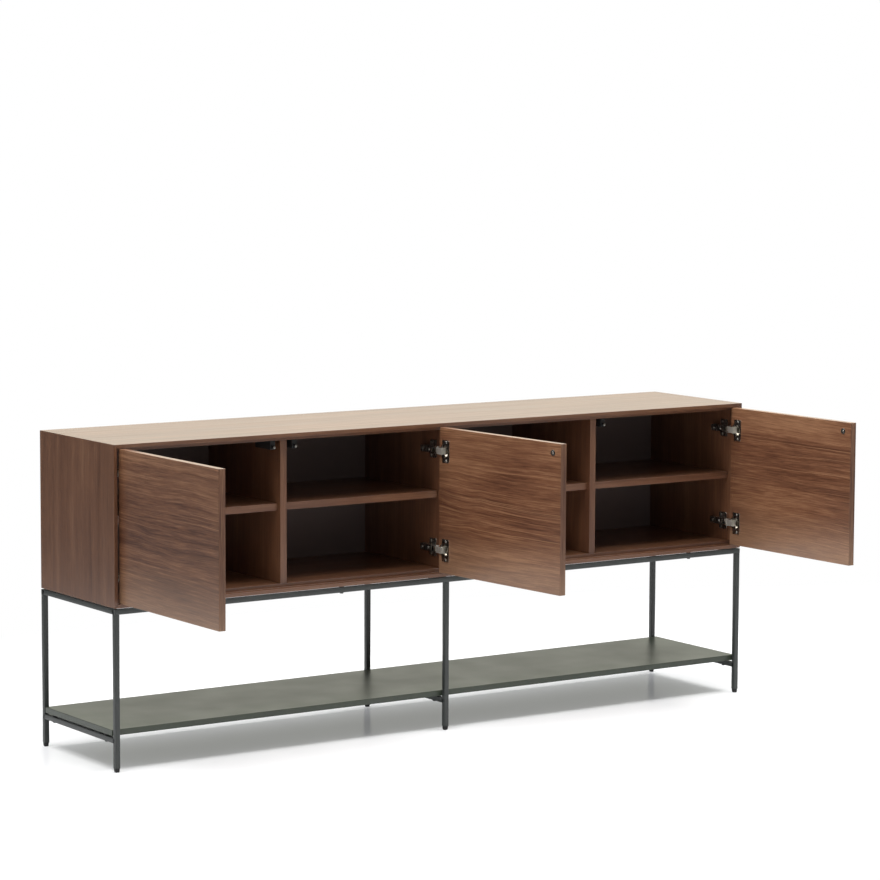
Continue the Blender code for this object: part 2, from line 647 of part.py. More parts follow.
def make_door(label, side, edge, angle, cup_mesh):
    axis = turning_axis(f"{label}_door_axis", (edge + side * PIVOT_INSET, FRONT, DOOR_MIDDLE), -side * angle)
    place = {"parent": axis, "rotation": half_turn(side)}
    name = f"{label}_door_panel"
    shape = bmesh.new()
    add_box(shape, (-PIVOT_INSET, 0.0, -DOOR_HEIGHT / 2),
            (DOOR_WIDTH - PIVOT_INSET, DOOR, DOOR_HEIGHT / 2), CHAMFER)
    node(name, shape, WALNUT_DOOR, **place)
    cup_x = CUP_CENTRE - PIVOT_INSET
    for up, level in LEVELS:
        rise = side * up * HINGE_RISE
        new_object(f"{label}_door_{level}_hinge_cup", cup_mesh, NICKEL, parent=axis,
                   location=(side * cup_x, DOOR, up * HINGE_RISE), rotation=half_turn(side), smooth=True)
        bore(name, (cup_x, DOOR, rise), (0, -1, 0), CUP_DEPTH + FIT, CUP_RADIUS + FIT, MANY)
        for way in (-1, 1):
            bore(name, (cup_x + CUP_SCREW_OFFSET, DOOR, rise + way * CUP_SCREW_PITCH / 2), (0, -1, 0),
                 CUP_SCREW_DEPTH + FIT, CUP_SCREW_RADIUS + FIT)
    striker_x = DOOR_WIDTH - STRIKER_INSET - PIVOT_INSET
    striker_z = side * (DOOR_HEIGHT / 2 - STRIKER_DROP)
    striker = bmesh.new()
    reach = STRIKER + FIT + STRIKER_SCREW_DEPTH
    add_turned(striker, (striker_x, DOOR + FIT + STRIKER, striker_z), (0, -1, 0), (
        (0.0, STRIKER_RADIUS * 0.9), (STRIKER * 0.35, STRIKER_RADIUS), (STRIKER, STRIKER_RADIUS),
        (STRIKER, CUP_SCREW_RADIUS), (reach - CUP_SCREW_RADIUS, CUP_SCREW_RADIUS),
        (reach, CUP_SCREW_RADIUS * 0.4)), SOME)
    node(f"{label}_door_striker", striker, ZINC, **place, smooth=True)
    bore(name, (striker_x, DOOR, striker_z), (0, -1, 0), STRIKER_SCREW_DEPTH + FIT, CUP_SCREW_RADIUS + FIT, SOME)


# Hinge arms, plates and links, drawn hinged left: x from the board's face, y from the front of the box

def make_arm_mesh():
    """A channel over the plate's rail, with the link's pin across its cheeks and two setting screws."""
    body = bmesh.new()
    outline = ((ARM_LIFT, ARM_BACK), (ARM_LIFT, ARM_FRONT), (ARM_TOP - ARM_NOSE * 0.6, ARM_FRONT),
               (ARM_TOP, ARM_FRONT + ARM_NOSE), (ARM_TOP, ARM_BACK))
    add_prism(body, outline, -ARM_HALF, ARM_HALF)
    arm = node("arm_blank", body, NICKEL)
    channel = bmesh.new()
    inner = ARM_TOP - ARM_WALL
    outline = ((ARM_LIFT - OVERSHOOT, ARM_FRONT - OVERSHOOT), (ARM_TOP + OVERSHOOT, ARM_FRONT - OVERSHOOT),
               (ARM_TOP + OVERSHOOT, ARM_MOUTH), (inner, ARM_MOUTH), (inner, ARM_BACK + OVERSHOOT),
               (ARM_LIFT - OVERSHOOT, ARM_BACK + OVERSHOOT))
    add_prism(channel, outline, ARM_WALL - ARM_HALF, ARM_HALF - ARM_WALL)
    combine(arm, channel)
    fast = bmesh.new()
    half = ARM_HALF + LINK_PIN_OVERHANG
    add_rod(fast, (ARM_PIVOT_LIFT, ARM_PIVOT_DEPTH, -half), (0, 0, 1), 2 * half, LINK_PIN_RADIUS)
    for y in ARM_SCREWS:
        add_screw(fast, (ARM_TOP, y, 0), (-1, 0, 0), ARM_SCREW_HEAD, SCREW_HEAD_THICKNESS, ARM_SCREW_RADIUS,
                  ARM_TOP - PLATE - RAIL_HEIGHT - FIT)
    combine(arm, fast, "UNION")
    return baked(arm)


def make_plate_mesh():
    """Mounting plate: a flat foot with two wings, the rail that the arm clips over, and two screws."""
    shape = bmesh.new()
    screw_y = REBATE + PLATE_SCREW_FROM_EDGE
    front, back = screw_y - WING_BEFORE, screw_y + WING_BEHIND
    slim = ARM_HALF
    outline = ((PLATE_FRONT, -slim), (front, -slim), (front, -WING_HALF), (back, -WING_HALF),
               (back, -slim), (PLATE_BACK, -slim), (PLATE_BACK, slim), (back, slim),
               (back, WING_HALF), (front, WING_HALF), (front, slim), (PLATE_FRONT, slim))
    add_prism(shape, outline, FIT, FIT + PLATE, "x")
    plate = node("plate_blank", shape, NICKEL)
    fast = bmesh.new()
    half = ARM_HALF - ARM_WALL - FIT
    add_box(fast, (PLATE / 2, ARM_MOUTH + OVERSHOOT, -half), (PLATE + RAIL_HEIGHT, ARM_BACK - OVERSHOOT, half))
    for up in (-1, 1):
        add_screw(fast, (FIT + PLATE, screw_y, up * PLATE_SCREW_PITCH / 2), (-1, 0, 0), PLATE_SCREW_HEAD,
                  SCREW_HEAD_THICKNESS, PLATE_SCREW_RADIUS, FIT + PLATE + PLATE_SCREW_DEPTH)
    combine(plate, fast, "UNION")
    return baked(plate)


def make_link_mesh():
    """The bent link between the arm and the cup, from its pin, with the door at a right angle."""
    shape = bmesh.new()
    start = Vector(LINK_BEND_A).normalized() * LINK_EYE * 0.6
    add_prism(shape, stroke((tuple(start), LINK_BEND_A, LINK_BEND_B, LINK_TIP), LINK_HALF), -LINK_WIDE, LINK_WIDE)
    link = node("link_blank", shape, NICKEL)
    shoulders = bmesh.new()
    for low in (-LINK_WIDE - OVERSHOOT, LINK_NARROW):
        add_rod(shoulders, (0, 0, low), (0, 0, 1), LINK_WIDE + OVERSHOOT - LINK_NARROW, LINK_NECK, SOME)
    combine(link, shoulders)
    eye = bmesh.new()
    add_rod(eye, (0, 0, -LINK_NARROW), (0, 0, 1), 2 * LINK_NARROW, LINK_EYE, SOME)
    combine(link, eye, "UNION")
    pin_hole = bmesh.new()
    add_rod(pin_hole, (0, 0, -LINK_WIDE - OVERSHOOT), (0, 0, 1), 2 * (LINK_WIDE + OVERSHOOT), LINK_PIN_RADIUS + FIT)
    combine(link, pin_hole)
    return baked(link)


def make_hinges():
    cup_mesh = make_cup_mesh()
    arm_mesh = make_arm_mesh()
    plate_mesh = make_plate_mesh()
    link_mesh = make_link_mesh()
    screw_y = FRONT + REBATE + PLATE_SCREW_FROM_EDGE
    for label, side, edge, seat, angle in DOORS:
        make_door(label, side, edge, angle, cup_mesh)
        axis = turning_axis(f"{label}_link_axis", (seat + side * ARM_PIVOT_LIFT, FRONT + ARM_PIVOT_DEPTH,
                                                   DOOR_MIDDLE), -side * (angle - 90.0))
        for up, level in LEVELS:
            hinge = f"{label}_door_{level}_hinge"
            z = DOOR_MIDDLE + up * HINGE_RISE
            turn = half_turn(side)
            new_object(f"{hinge}_link", link_mesh, NICKEL, parent=axis, location=(0, 0, up * HINGE_RISE),
                       rotation=turn)
            new_object(f"{hinge}_arm", arm_mesh, NICKEL, location=(seat, FRONT, z), rotation=turn)
            new_object(f"{hinge}_plate", plate_mesh, NICKEL, location=(seat, FRONT, z), rotation=turn)
            for way in (-1, 1):
                bore(HINGE_BOARDS[label], (seat, screw_y, z + way * PLATE_SCREW_PITCH / 2), (-side, 0, 0),
                     PLATE_SCREW_DEPTH + FIT, PLATE_SCREW_RADIUS + FIT)


def make_latches():
    """Push latches under the top, each with its plunger out, over the striker of a shut door."""
    front = FRONT + LATCH_FRONT
    back = front + LATCH_LENGTH
    low = LATCH_HEIGHT - LATCH_BELOW
    top = CEILING - FIT
    outline = ((back, low + LATCH_EAR), (back, top - LATCH_EAR), (back + LATCH_EAR_LENGTH, top - LATCH_EAR),
               (back + LATCH_EAR_LENGTH, top), (front, top), (front, low), (back - LATCH_EAR, low))
    screw_y = back + LATCH_EAR_LENGTH / 2
    for label, side, edge, _, angle in DOORS:
        x = edge + side * (DOOR_WIDTH - STRIKER_INSET)
        tip = STRIKER_FACE + FIT - LATCH_PER_RADIAN * radians(angle)
        name = f"{label}_latch_housing"
        shape = bmesh.new()
        add_prism(shape, outline, x - LATCH_HALF_WIDTH, x + LATCH_HALF_WIDTH, "x")
        node(name, shape, BLACK)
        bore(name, (x, front, LATCH_HEIGHT), (0, 1, 0), PLUNGER_IN_HOUSING + LATCH_BORE_SPARE,
             PLUNGER_RADIUS + FIT, SOME)
        add_screw(studs(name), (x, screw_y, top - LATCH_EAR), (0, 0, 1), LATCH_SCREW_HEAD, SCREW_HEAD_THICKNESS,
                  LATCH_SCREW_RADIUS, LATCH_EAR + LATCH_SCREW_DEPTH)
        bore("top_panel", (x, screw_y, CEILING), (0, 0, 1), LATCH_SCREW_DEPTH, LATCH_SCREW_RADIUS + FIT)
        plunger = bmesh.new()
        length = front + PLUNGER_IN_HOUSING - tip
        add_turned(plunger, (x, tip, LATCH_HEIGHT), (0, 1, 0), (
            (0.0, PLUNGER_RADIUS - PLUNGER_CHAMFER), (PLUNGER_CHAMFER, PLUNGER_RADIUS),
            (length, PLUNGER_RADIUS)), SOME)
        node(f"{label}_latch_plunger", plunger, ZINC, smooth=True)


make_box()
add_mitre_dowels()
add_partition_dowels()
make_backs()
make_inner_shelves()
make_top_frame()
make_leg_frames()
make_feet()
make_low_shelf()
make_hinges()
make_latches()
join_studs_and_cut_bores()
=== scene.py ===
"""Looks of a long sideboard with three open doors, laid out as a Blender add-on.

The first operator makes the stage, and each of the others one piece, or one group of like pieces,
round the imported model. Metres, +Z up, +Y towards the back, origin on the floor at the front centre foot.
Run as a script, it calls every operator in order.
"""
import json
import math
import random

import bmesh
import bpy
from mathutils import Matrix, Vector


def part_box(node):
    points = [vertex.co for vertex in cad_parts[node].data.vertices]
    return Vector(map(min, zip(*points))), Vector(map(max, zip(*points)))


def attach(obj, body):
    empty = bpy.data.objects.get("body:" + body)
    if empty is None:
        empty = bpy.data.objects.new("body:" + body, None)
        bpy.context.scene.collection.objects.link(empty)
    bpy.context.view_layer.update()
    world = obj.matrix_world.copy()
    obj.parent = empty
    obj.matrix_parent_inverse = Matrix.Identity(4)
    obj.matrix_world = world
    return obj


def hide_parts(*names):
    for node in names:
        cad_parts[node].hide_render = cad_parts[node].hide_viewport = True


bl_info = {
    "name": "Long sideboard",
    "version": (1, 0, 0),
    "blender": (4, 5, 0),
    "location": "3D View > Sidebar > Sideboard",
    "description": "Dresses the packed sideboard in walnut veneer, painted steel and hinge hardware",
    "category": "Object",
}

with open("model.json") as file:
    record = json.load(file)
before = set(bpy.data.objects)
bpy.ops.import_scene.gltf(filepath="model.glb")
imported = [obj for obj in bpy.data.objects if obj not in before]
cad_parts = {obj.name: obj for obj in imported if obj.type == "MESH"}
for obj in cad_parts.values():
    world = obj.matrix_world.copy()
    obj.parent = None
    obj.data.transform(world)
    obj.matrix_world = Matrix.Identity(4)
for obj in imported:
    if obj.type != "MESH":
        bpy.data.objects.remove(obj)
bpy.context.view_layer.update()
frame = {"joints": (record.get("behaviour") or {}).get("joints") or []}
JOINTS = {joint["name"]: joint for joint in frame["joints"]}

# Sizes that the pieces share with the solids, in metres
FIT = 0.0003                 # clearance between two pieces that touch
BOARD = 0.019
LIP = 0.0095                 # left of a box board in front of the doors' edges
REBATE = 0.022
BACK_LIP = 0.0095
BACK_REBATE = 0.008
BACK_PANEL = 0.006
BAYS = 4
DOOR = 0.018
DOOR_GAP = 0.0015
DOOR_JOINT = 0.003
PIVOT_INSET = 0.0045
HINGE_RISE = 0.1285          # from the middle of a door to the middle of each hinge
TUBE = 0.013
LEG_ROWS = ("left", "centre", "right")
LEVELS = ((-1, "lower"), (1, "upper"))
DOORS = ("left", "middle", "right")

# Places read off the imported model
LOW_CORNER, HIGH_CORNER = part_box("top_panel")
FRONT, BACK, HALF, TOP = LOW_CORNER.y, HIGH_CORNER.y, HIGH_CORNER.x, HIGH_CORNER.z
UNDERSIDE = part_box("bottom_panel")[0].z
STEP = FRONT + REBATE
BACK_STEP = BACK - BACK_REBATE
PITCH = 2 * (HALF - LIP) / BAYS
PARTITIONS = [LIP - HALF + PITCH * (i + 1) for i in range(BAYS - 1)]
PARTITION_NAMES = ("partition_left", "partition_centre", "partition_right")
DOOR_WIDTH = PITCH - DOOR_GAP - DOOR_JOINT / 2
DOOR_HEIGHT = TOP - UNDERSIDE - 2 * (LIP + DOOR_GAP)
MIDDLE_HEIGHT = (TOP + UNDERSIDE) / 2

# Rounding of the edges
MITRED_EDGE, BOARD_EDGE, BACK_EDGE, DOOR_EDGE = 0.0005, 0.0006, 0.0004, 0.0007
LOW_SHELF_EDGE, FOOT_EDGE, LATCH_EDGE = 0.0012, 0.0008, 0.0009

GRAIN = "grain"              # attribute with the veneer's own coordinates
END_SHEET, EDGE_SHEET, SECOND_SHEET = 0.35, 0.55, 0.15   # veneer on a board's ends, edges and second face
AXIS = "axis"                # attribute with the way that a small piece points
X, Y, Z = Vector((1, 0, 0)), Vector((0, 1, 0)), Vector((0, 0, 1))


# Settings that a user would change

def colour_setting(name, description, default):
    return bpy.props.FloatVectorProperty(name=name, description=description, subtype="COLOR", size=3,
                                         min=0, max=1, default=default)


def number_setting(name, description, default, low=0.0, high=1.0, **kind):
    return bpy.props.FloatProperty(name=name, description=description, min=low, max=high,
                                   default=default, **kind)


class WalnutSettings(bpy.types.PropertyGroup):
    """Colours and figure of the veneer."""
    dark: colour_setting("Dark streaks", "Colour of the late growth and of the pores", (0.072, 0.027, 0.014))
    middle: colour_setting("Body colour", "Colour of most of the veneer", (0.158, 0.067, 0.033))
    light: colour_setting("Light streaks", "Colour of the early growth", (0.275, 0.140, 0.072))
    # Painted light: the colour of the pale wash painted along the doors' lower edges, standing in for light
    # bounced up from the floor.
    painted_floor_bounce: colour_setting("Painted_floor_bounce", "Colour of the pale wood along the doors' lower edges",
                            (0.300, 0.195, 0.125))
    # The backs' plain greyish brown, lighter and greyer than the walnut, is painted haze over the dark bays.
    backs: colour_setting("Backs", "Colour of the stained backs", (0.165, 0.122, 0.108))
    ring_width: number_setting("Ring width", "Width of one growth ring on the face", 0.018,
                               0.004, 0.1, unit="LENGTH")
    gloss: number_setting("Roughness", "Roughness of the wood", 0.36, subtype="FACTOR")
    lacquer: number_setting("Lacquer", "How much of a clear coat lies on the wood", 0.50, subtype="FACTOR")


class SteelSettings(bpy.types.PropertyGroup):
    """Painted parts of the base."""
    frame_paint: colour_setting("Frame paint", "Colour of the tubes", (0.037, 0.041, 0.039))
    shelf_paint: colour_setting("Shelf paint", "Colour of the low shelf", (0.041, 0.051, 0.035))
    corner_radius: number_setting("Corner radius", "Outer corner radius of the square tube", 0.0012,
                                  0.0002, 0.004, unit="LENGTH")


class HardwareSettings(bpy.types.PropertyGroup):
    """Hinges, latches and screws."""
    plating: colour_setting("Plating", "Colour of the nickel plating", (0.72, 0.69, 0.63))
    plastic: colour_setting("Plastic", "Colour of the latches and feet", (0.006, 0.006, 0.007))
    edge: number_setting("Edge radius", "Rounding of pressed metal edges", 0.0003,
                         0.00005, 0.001, unit="LENGTH")


class StageSettings(bpy.types.PropertyGroup):
    """Floor, lamps and camera."""
    ambient: number_setting("Ambient light", "Strength of the surroundings as a light", 0.32, high=3.0)
    backdrop: number_setting("Backdrop light", "Strength as a light of the white backdrop behind the object",
                             1.0, high=3.0)
    overhead: number_setting("Overhead lamp", "Power of the large lamp over the object", 132.0,
                             high=2000.0, subtype="POWER")
    key: number_setting("Front lamp", "Power of the soft lamp over the open doors", 2.0,
                        high=2000.0, subtype="POWER")
    floor_colour: number_setting("Floor tone", "How pale the floor is", 0.96, subtype="FACTOR")
    floor_glow: number_setting("Floor lift", "What is added to the floor where it is seen", 0.14)
    lens: number_setting("Lens", "Focal length on a 36 mm sensor", 133.657, 10.0, 500.0,
                         subtype="DISTANCE_CAMERA")


SETTINGS = {
    "sideboard_walnut": WalnutSettings,
    "sideboard_steel": SteelSettings,
    "sideboard_hardware": HardwareSettings,
    "sideboard_stage": StageSettings,
}


def settings(name):
    return getattr(bpy.context.scene, f"sideboard_{name}")


# Writing node trees

class Wire:
    """A node's output that sums and products can be written with; each one adds its Math node."""

    def __init__(self, tree, socket):
        self.tree, self.socket = tree, socket

    def __add__(self, other):
        return self.tree.math("ADD", self, other)

    def __sub__(self, other):
        return self.tree.math("SUBTRACT", self, other)

    def __rsub__(self, other):
        return self.tree.math("SUBTRACT", other, self)

    def __mul__(self, other):
        return self.tree.math("MULTIPLY", self, other)

    def __truediv__(self, other):
        return self.tree.math("DIVIDE", self, other)

    def __pow__(self, other):
        return self.tree.math("POWER", self, other)

    __radd__ = __add__
    __rmul__ = __mul__


class Tree:
    """A node tree being written, of a material, the world or Geometry Nodes."""

    def __init__(self, nodes_of):
        self.nodes, self.links = nodes_of.nodes, nodes_of.links

    def node(self, kind, given=None, out=0, **sets):
        """Adds a node: its settings first, then the values and wires of its sockets, by name or number."""
        made = self.nodes.new(kind)
        for name, value in sets.items():
            if name == "stops":
                for i, (place, colour) in enumerate(value):
                    stop = made.color_ramp.elements[i] if i < 2 else made.color_ramp.elements.new(place)
                    stop.position, stop.color = place, colour
            else:
                setattr(made, name, value)
        for key, value in (given or {}).items():
            if isinstance(value, Wire):
                self.links.new(value.socket, made.inputs[key])
            else:
                made.inputs[key].default_value = value
        return Wire(self, made.outputs[out]) if len(made.outputs) else made

    def math(self, operation, a, b, clamp=False):
        return self.node("ShaderNodeMath", {0: a, 1: b}, operation=operation, use_clamp=clamp)

    def vector(self, x, y, z):
        return self.node("ShaderNodeCombineXYZ", {0: x, 1: y, 2: z})

    def mix(self, a, b, amount):
        """Colours a and b mixed."""
        return self.node("ShaderNodeMix", {0: amount, 6: a, 7: b}, out=2, data_type="RGBA")

    def noise(self, place, detail=2.0, roughness=0.5, scale=1.0):
        return self.node("ShaderNodeTexNoise", {"Vector": place, "Scale": scale, "Detail": detail,
                                                "Roughness": roughness})

    def spread(self, value, low, high, to_low=0.0, to_high=1.0):
        """A value's range moved onto another, held at both ends."""
        return self.node("ShaderNodeMapRange", {0: value, 1: low, 2: high, 3: to_low, 4: to_high})

    def parts(self, vector):
        made = self.node("ShaderNodeSeparateXYZ", {0: vector}).socket.node
        return [Wire(self, socket) for socket in made.outputs]

    def place(self):
        return self.node("ShaderNodeTexCoord", out="Object")

    def bump(self, height, strength, distance):
        return self.node("ShaderNodeBump", {"Strength": strength, "Distance": distance, "Height": height})


def fresh_tree(owner):
    """The emptied node tree of a material or a world."""
    owner.use_nodes = True
    owner.node_tree.nodes.clear()
    return Tree(owner.node_tree)


WHITE = (1.0, 1.0, 1.0, 1.0)


def rgba(colour, gain=1.0):
    return (*(channel * gain for channel in colour), 1.0)


def painted(name, write):
    """The material of that name; write gets its tree and returns the sockets of its shader."""
    found = bpy.data.materials.get(name)
    if found:
        return found
    made = bpy.data.materials.new(name)
    tree = fresh_tree(made)
    shader = tree.node("ShaderNodeBsdfPrincipled", write(tree))
    tree.node("ShaderNodeOutputMaterial", {"Surface": shader})
    return made


# The doors' veneer has a higher gain than the box's: the difference in figure is real, while the difference in
# brightness is painted light, standing in for the stronger light on the open doors.
def straight_walnut():
    """Quarter-cut veneer, even and quiet, for the box."""
    return painted("walnut_quarter_cut", lambda tree: write_walnut(
        tree, gain=0.90, darkest=0.27, lightest=0.77, lines=0.10, swirl=0.0, painted_height_light=0.0))


def figured_walnut():
    """Flat-cut veneer, with livelier figure, for the doors."""
    return painted("walnut_flat_cut", lambda tree: write_walnut(
        tree, gain=1.04, darkest=0.37, lightest=0.64, lines=0.60, swirl=0.035, painted_height_light=0.10))


def write_walnut(tree, gain, darkest, lightest, lines, swirl, painted_height_light):
    """Growth rings cut at a slant, streaks, short fibres and open pores, along the piece's own grain.

    Tones from darkest to lightest are spread over the three colours. lines is how strong the thin light
    lines are, swirl how far knots bend the grain, and heart how much painted light there is by height:
    painted shade darkens the middle height, and a painted pale wash of floor bounce light lies along the
    lower edge.
    """
    wood = settings("walnut")
    along, across, sheet = tree.parts(tree.node("ShaderNodeAttribute", out="Vector", attribute_name=GRAIN))

    def layer(over, per_metre, per_metre_across, seed, detail=2.0, roughness=0.5):
        """Noise stretched along the grain."""
        place = tree.vector(along * per_metre, over * per_metre_across, sheet * seed)
        return tree.noise(place, detail, roughness)

    drift = layer(across, 1.1, 2.6, 7.0) - 0.5
    ripple = layer(across, 6.0, 14.0, 3.0) - 0.5
    curl = layer(across, 6.0, 9.0, 29.0, 1.0) - 0.5
    knots = tree.spread(layer(across, 2.4, 3.6, 31.0, 1.0), 0.58, 0.70)
    bent = across + drift * 0.055 + ripple * 0.005 + curl * knots * swirl
    depth = along * 0.045 + 0.05
    radius = (bent * bent + depth * depth) ** 0.5
    rings = tree.noise(tree.vector(radius / wood.ring_width, along * 0.7, sheet * 5.0), 2.0, 0.55)
    streaks = layer(bent, 1.5, 150.0, 2.0)
    flecks = layer(bent, 13.0, 400.0, 19.0, 2.0, 0.6)
    fibres = layer(bent, 24.0, 620.0, 11.0)
    pores = tree.spread(layer(bent, 90.0, 2600.0, 13.0, 1.0), 0.60, 0.70)
    bright = tree.spread(layer(bent, 1.4, 290.0, 23.0, 1.0), 0.61, 0.72)
    clouds = layer(across, 2.5, 7.0, 17.0) - 0.5
    tone = rings * 0.27 + streaks * 0.18 + flecks * 0.38 + fibres * 0.17 + clouds * 0.30
    # Painted light by height on the doors: painted shade darkens their middle height, and a painted pale wash
    # of floor bounce light lies along their lower edge.
    height = tree.parts(tree.place())[2]
    off_middle_height = (height - MIDDLE_HEIGHT) / (DOOR_HEIGHT / 2)
    tone = tone + (off_middle_height * off_middle_height - 0.40) * painted_height_light
    painted_floor_bounce = tree.spread(off_middle_height, -1.0, -0.35, painted_height_light * 3.6, 0.0)
    colour = tree.node("ShaderNodeValToRGB", {0: tree.spread(tone, darkest, lightest)}, stops=(
        (0.0, rgba(wood.dark, gain)), (1.0, rgba(wood.light, gain)), (0.5, rgba(wood.middle, gain))))
    colour = tree.mix(colour, rgba(wood.light, gain * 1.15), bright * lines)
    colour = tree.mix(colour, rgba(wood.painted_floor_bounce, gain), painted_floor_bounce)
    colour = tree.mix(colour, rgba(wood.dark, gain * 0.8), pores * 0.35)
    relief = fibres * 0.35 + flecks * 0.35 - pores * 0.6
    return {
        "Base Color": colour,
        "Roughness": tree.spread(streaks, 0.3, 0.7, wood.gloss - 0.05, wood.gloss + 0.06),
        "Normal": tree.bump(relief, 0.25, 0.0002),
        "IOR": 1.5,
        "Coat Weight": wood.lacquer,
        "Coat Roughness": 0.16,
    }


def paint(name, colour, roughness, pebble, cloudy=0.12):
    """Sprayed or powder paint: an even colour, faint clouds and a fine pebbled surface."""
    def write(tree):
        place = tree.place()
        clouds = tree.noise(place, scale=9.0)
        grain = tree.noise(place, scale=2600.0)
        shades = rgba(colour, 1.0 - cloudy), rgba(colour, 1.0 + cloudy)
        return {
            "Base Color": tree.mix(*shades, tree.spread(clouds, 0.3, 0.7)),
            "Roughness": tree.spread(clouds, 0.3, 0.7, roughness - 0.03, roughness + 0.03),
            "Normal": tree.bump(grain, pebble, 0.0001),
        }
    return painted(name, write)


def frame_paint():
    return paint("frame_powder_coat", settings("steel").frame_paint, 0.42, 0.25)


def shelf_paint():
    return paint("low_shelf_lacquer", settings("steel").shelf_paint, 0.36, 0.12)


# A plain greyish brown whose lightness and greyness are painted haze in the dark bays.
def back_board():
    return paint("stained_back", settings("walnut").backs, 0.50, 0.10, 0.03)


def black_plastic():
    return paint("black_plastic", settings("hardware").plastic, 0.38, 0.15)


def plated(name, gain, roughness):
    """Bright plating with faint rolling marks and a little uneven gloss."""
    def write(tree):
        place = tree.place()
        marks = tree.noise(tree.node("ShaderNodeMapping", {"Vector": place, "Scale": (900.0, 900.0, 60.0)}))
        clouds = tree.noise(place, scale=160.0)
        colour = settings("hardware").plating
        shades = rgba(colour, gain * 0.9), rgba(colour, gain)
        return {
            "Base Color": tree.mix(*shades, tree.spread(clouds, 0.3, 0.7)),
            "Metallic": 1.0,
            "Roughness": tree.spread(marks, 0.3, 0.7, roughness - 0.05, roughness + 0.07),
            "Normal": tree.bump(marks, 0.1, 0.0001),
        }
    return painted(name, write)


def nickel():
    return plated("nickel_plating", 1.0, 0.24)


def satin_nickel():
    return plated("satin_nickel", 1.15, 0.62)


def zinc():
    return plated("zinc_plating", 0.45, 0.45)


def bronzed():
    return plated("bronzed_steel", 0.16, 0.40)


# Making meshes; box, prism, turned, rod and skin each draw a new bmesh

def box(low, high):
    shape = bmesh.new()
    low, high = Vector(low), Vector(high)
    for v in bmesh.ops.create_cube(shape, size=1.0)["verts"]:
        v.co = Vector([low[i] + (v.co[i] + 0.5) * (high[i] - low[i]) for i in range(3)])
    return shape


def prism(outline, low, high, axis="z"):
    """An outline of (u, v) points pushed along an axis; u and v are the other two axes in order."""
    place = {"x": lambda u, v, w: (w, u, v),
             "y": lambda u, v, w: (u, w, v),
             "z": lambda u, v, w: (u, v, w)}[axis]
    return skin([[place(u, v, w) for u, v in outline] for w in (low, high)])


def turned(start, axis, profile, sides=32):
    """A round body: rings of (distance along the axis, radius), closed at both ends."""
    way = Z.rotation_difference(Vector(axis)).to_matrix()
    angles = [2 * math.pi * (i + 0.5) / sides for i in range(sides)]
    return skin([[Vector(start) + way @ Vector((radius * math.cos(a), radius * math.sin(a), distance))
                  for a in angles] for distance, radius in profile])


def rod(start, axis, length, radius, sides):
    return turned(start, axis, ((0.0, radius), (length, radius)), sides)


def skin(rings):
    """Faces between rings of corners, and a lid on the first and the last."""
    shape = bmesh.new()
    rings = [[shape.verts.new(corner) for corner in ring] for ring in rings]
    for lower, upper in zip(rings, rings[1:]):
        for i in range(len(lower)):
            j = (i + 1) % len(lower)
            shape.faces.new((lower[i], lower[j], upper[j], upper[i]))
    shape.faces.new(rings[0])
    shape.faces.new(rings[-1])
    return shape


def stroke(points, half):
    """The outline of a bent strip: its line of points widened by half on both sides."""
    sides = ([], [])
    for i, point in enumerate(points):
        here = Vector(point)
        before = (here - Vector(points[i - 1])).normalized() if i else None
        after = (Vector(points[i + 1]) - here).normalized() if i < len(points) - 1 else None
        along = (before or after) if not (before and after) else (before + after).normalized()
        reach = half / (along.dot(before) if before and after else 1.0)
        normal = Vector((-along.y, along.x)) * reach
        sides[0].append(tuple(here + normal))
        sides[1].append(tuple(here - normal))
    return sides[0] + sides[1][::-1]


def linked(name, data):
    """A new object of the scene."""
    made = bpy.data.objects.new(name, data)
    bpy.context.scene.collection.objects.link(made)
    return made


def rough_object(name, shape):
    """A bmesh as an object that will be cut, joined or rounded."""
    bmesh.ops.recalc_face_normals(shape, faces=shape.faces)
    mesh = bpy.data.meshes.new(name)
    shape.to_mesh(mesh)
    shape.free()
    return linked(name, mesh)


def plain_mesh(made):
    """The object's mesh after its modifiers; the object goes, and its tools with it."""
    tools = [step.object for step in made.modifiers if step.type == "BOOLEAN"]
    bpy.context.view_layer.update()
    mesh = bpy.data.meshes.new_from_object(made.evaluated_get(bpy.context.evaluated_depsgraph_get()))
    mesh.name = made.name
    for old in (*tools, made):
        bpy.data.objects.remove(old, do_unlink=True)
    return mesh


def combine(made, shape, operation="DIFFERENCE"):
    """Cuts a shape from an object, or joins it on."""
    tool = shape if isinstance(shape, bpy.types.Object) else rough_object(f"{made.name}_tool", shape)
    step = made.modifiers.new(operation.lower(), "BOOLEAN")
    step.operation, step.solver, step.object = operation, "EXACT", tool


def rounded(made, radius, segments=2):
    """The object's finished mesh with its sharp edges rounded and its flats left flat."""
    step = made.modifiers.new("rounded", "BEVEL")
    step.width, step.segments, step.limit_method = radius, segments, "ANGLE"
    step.angle_limit, step.harden_normals = math.radians(35.0), True
    made.data.shade_smooth()
    return plain_mesh(made)


def smoothed(made):
    """The object's finished mesh, smooth but for its sharp edges."""
    made.data.shade_smooth()
    made.data.set_sharp_from_angle(angle=math.radians(40.0))
    return plain_mesh(made)


def board(name, low, high, radius=BOARD_EDGE, segments=2):
    """The mesh of a plain board between two corners, with its edges eased."""
    return rounded(rough_object(name, box(low, high)), radius, segments)


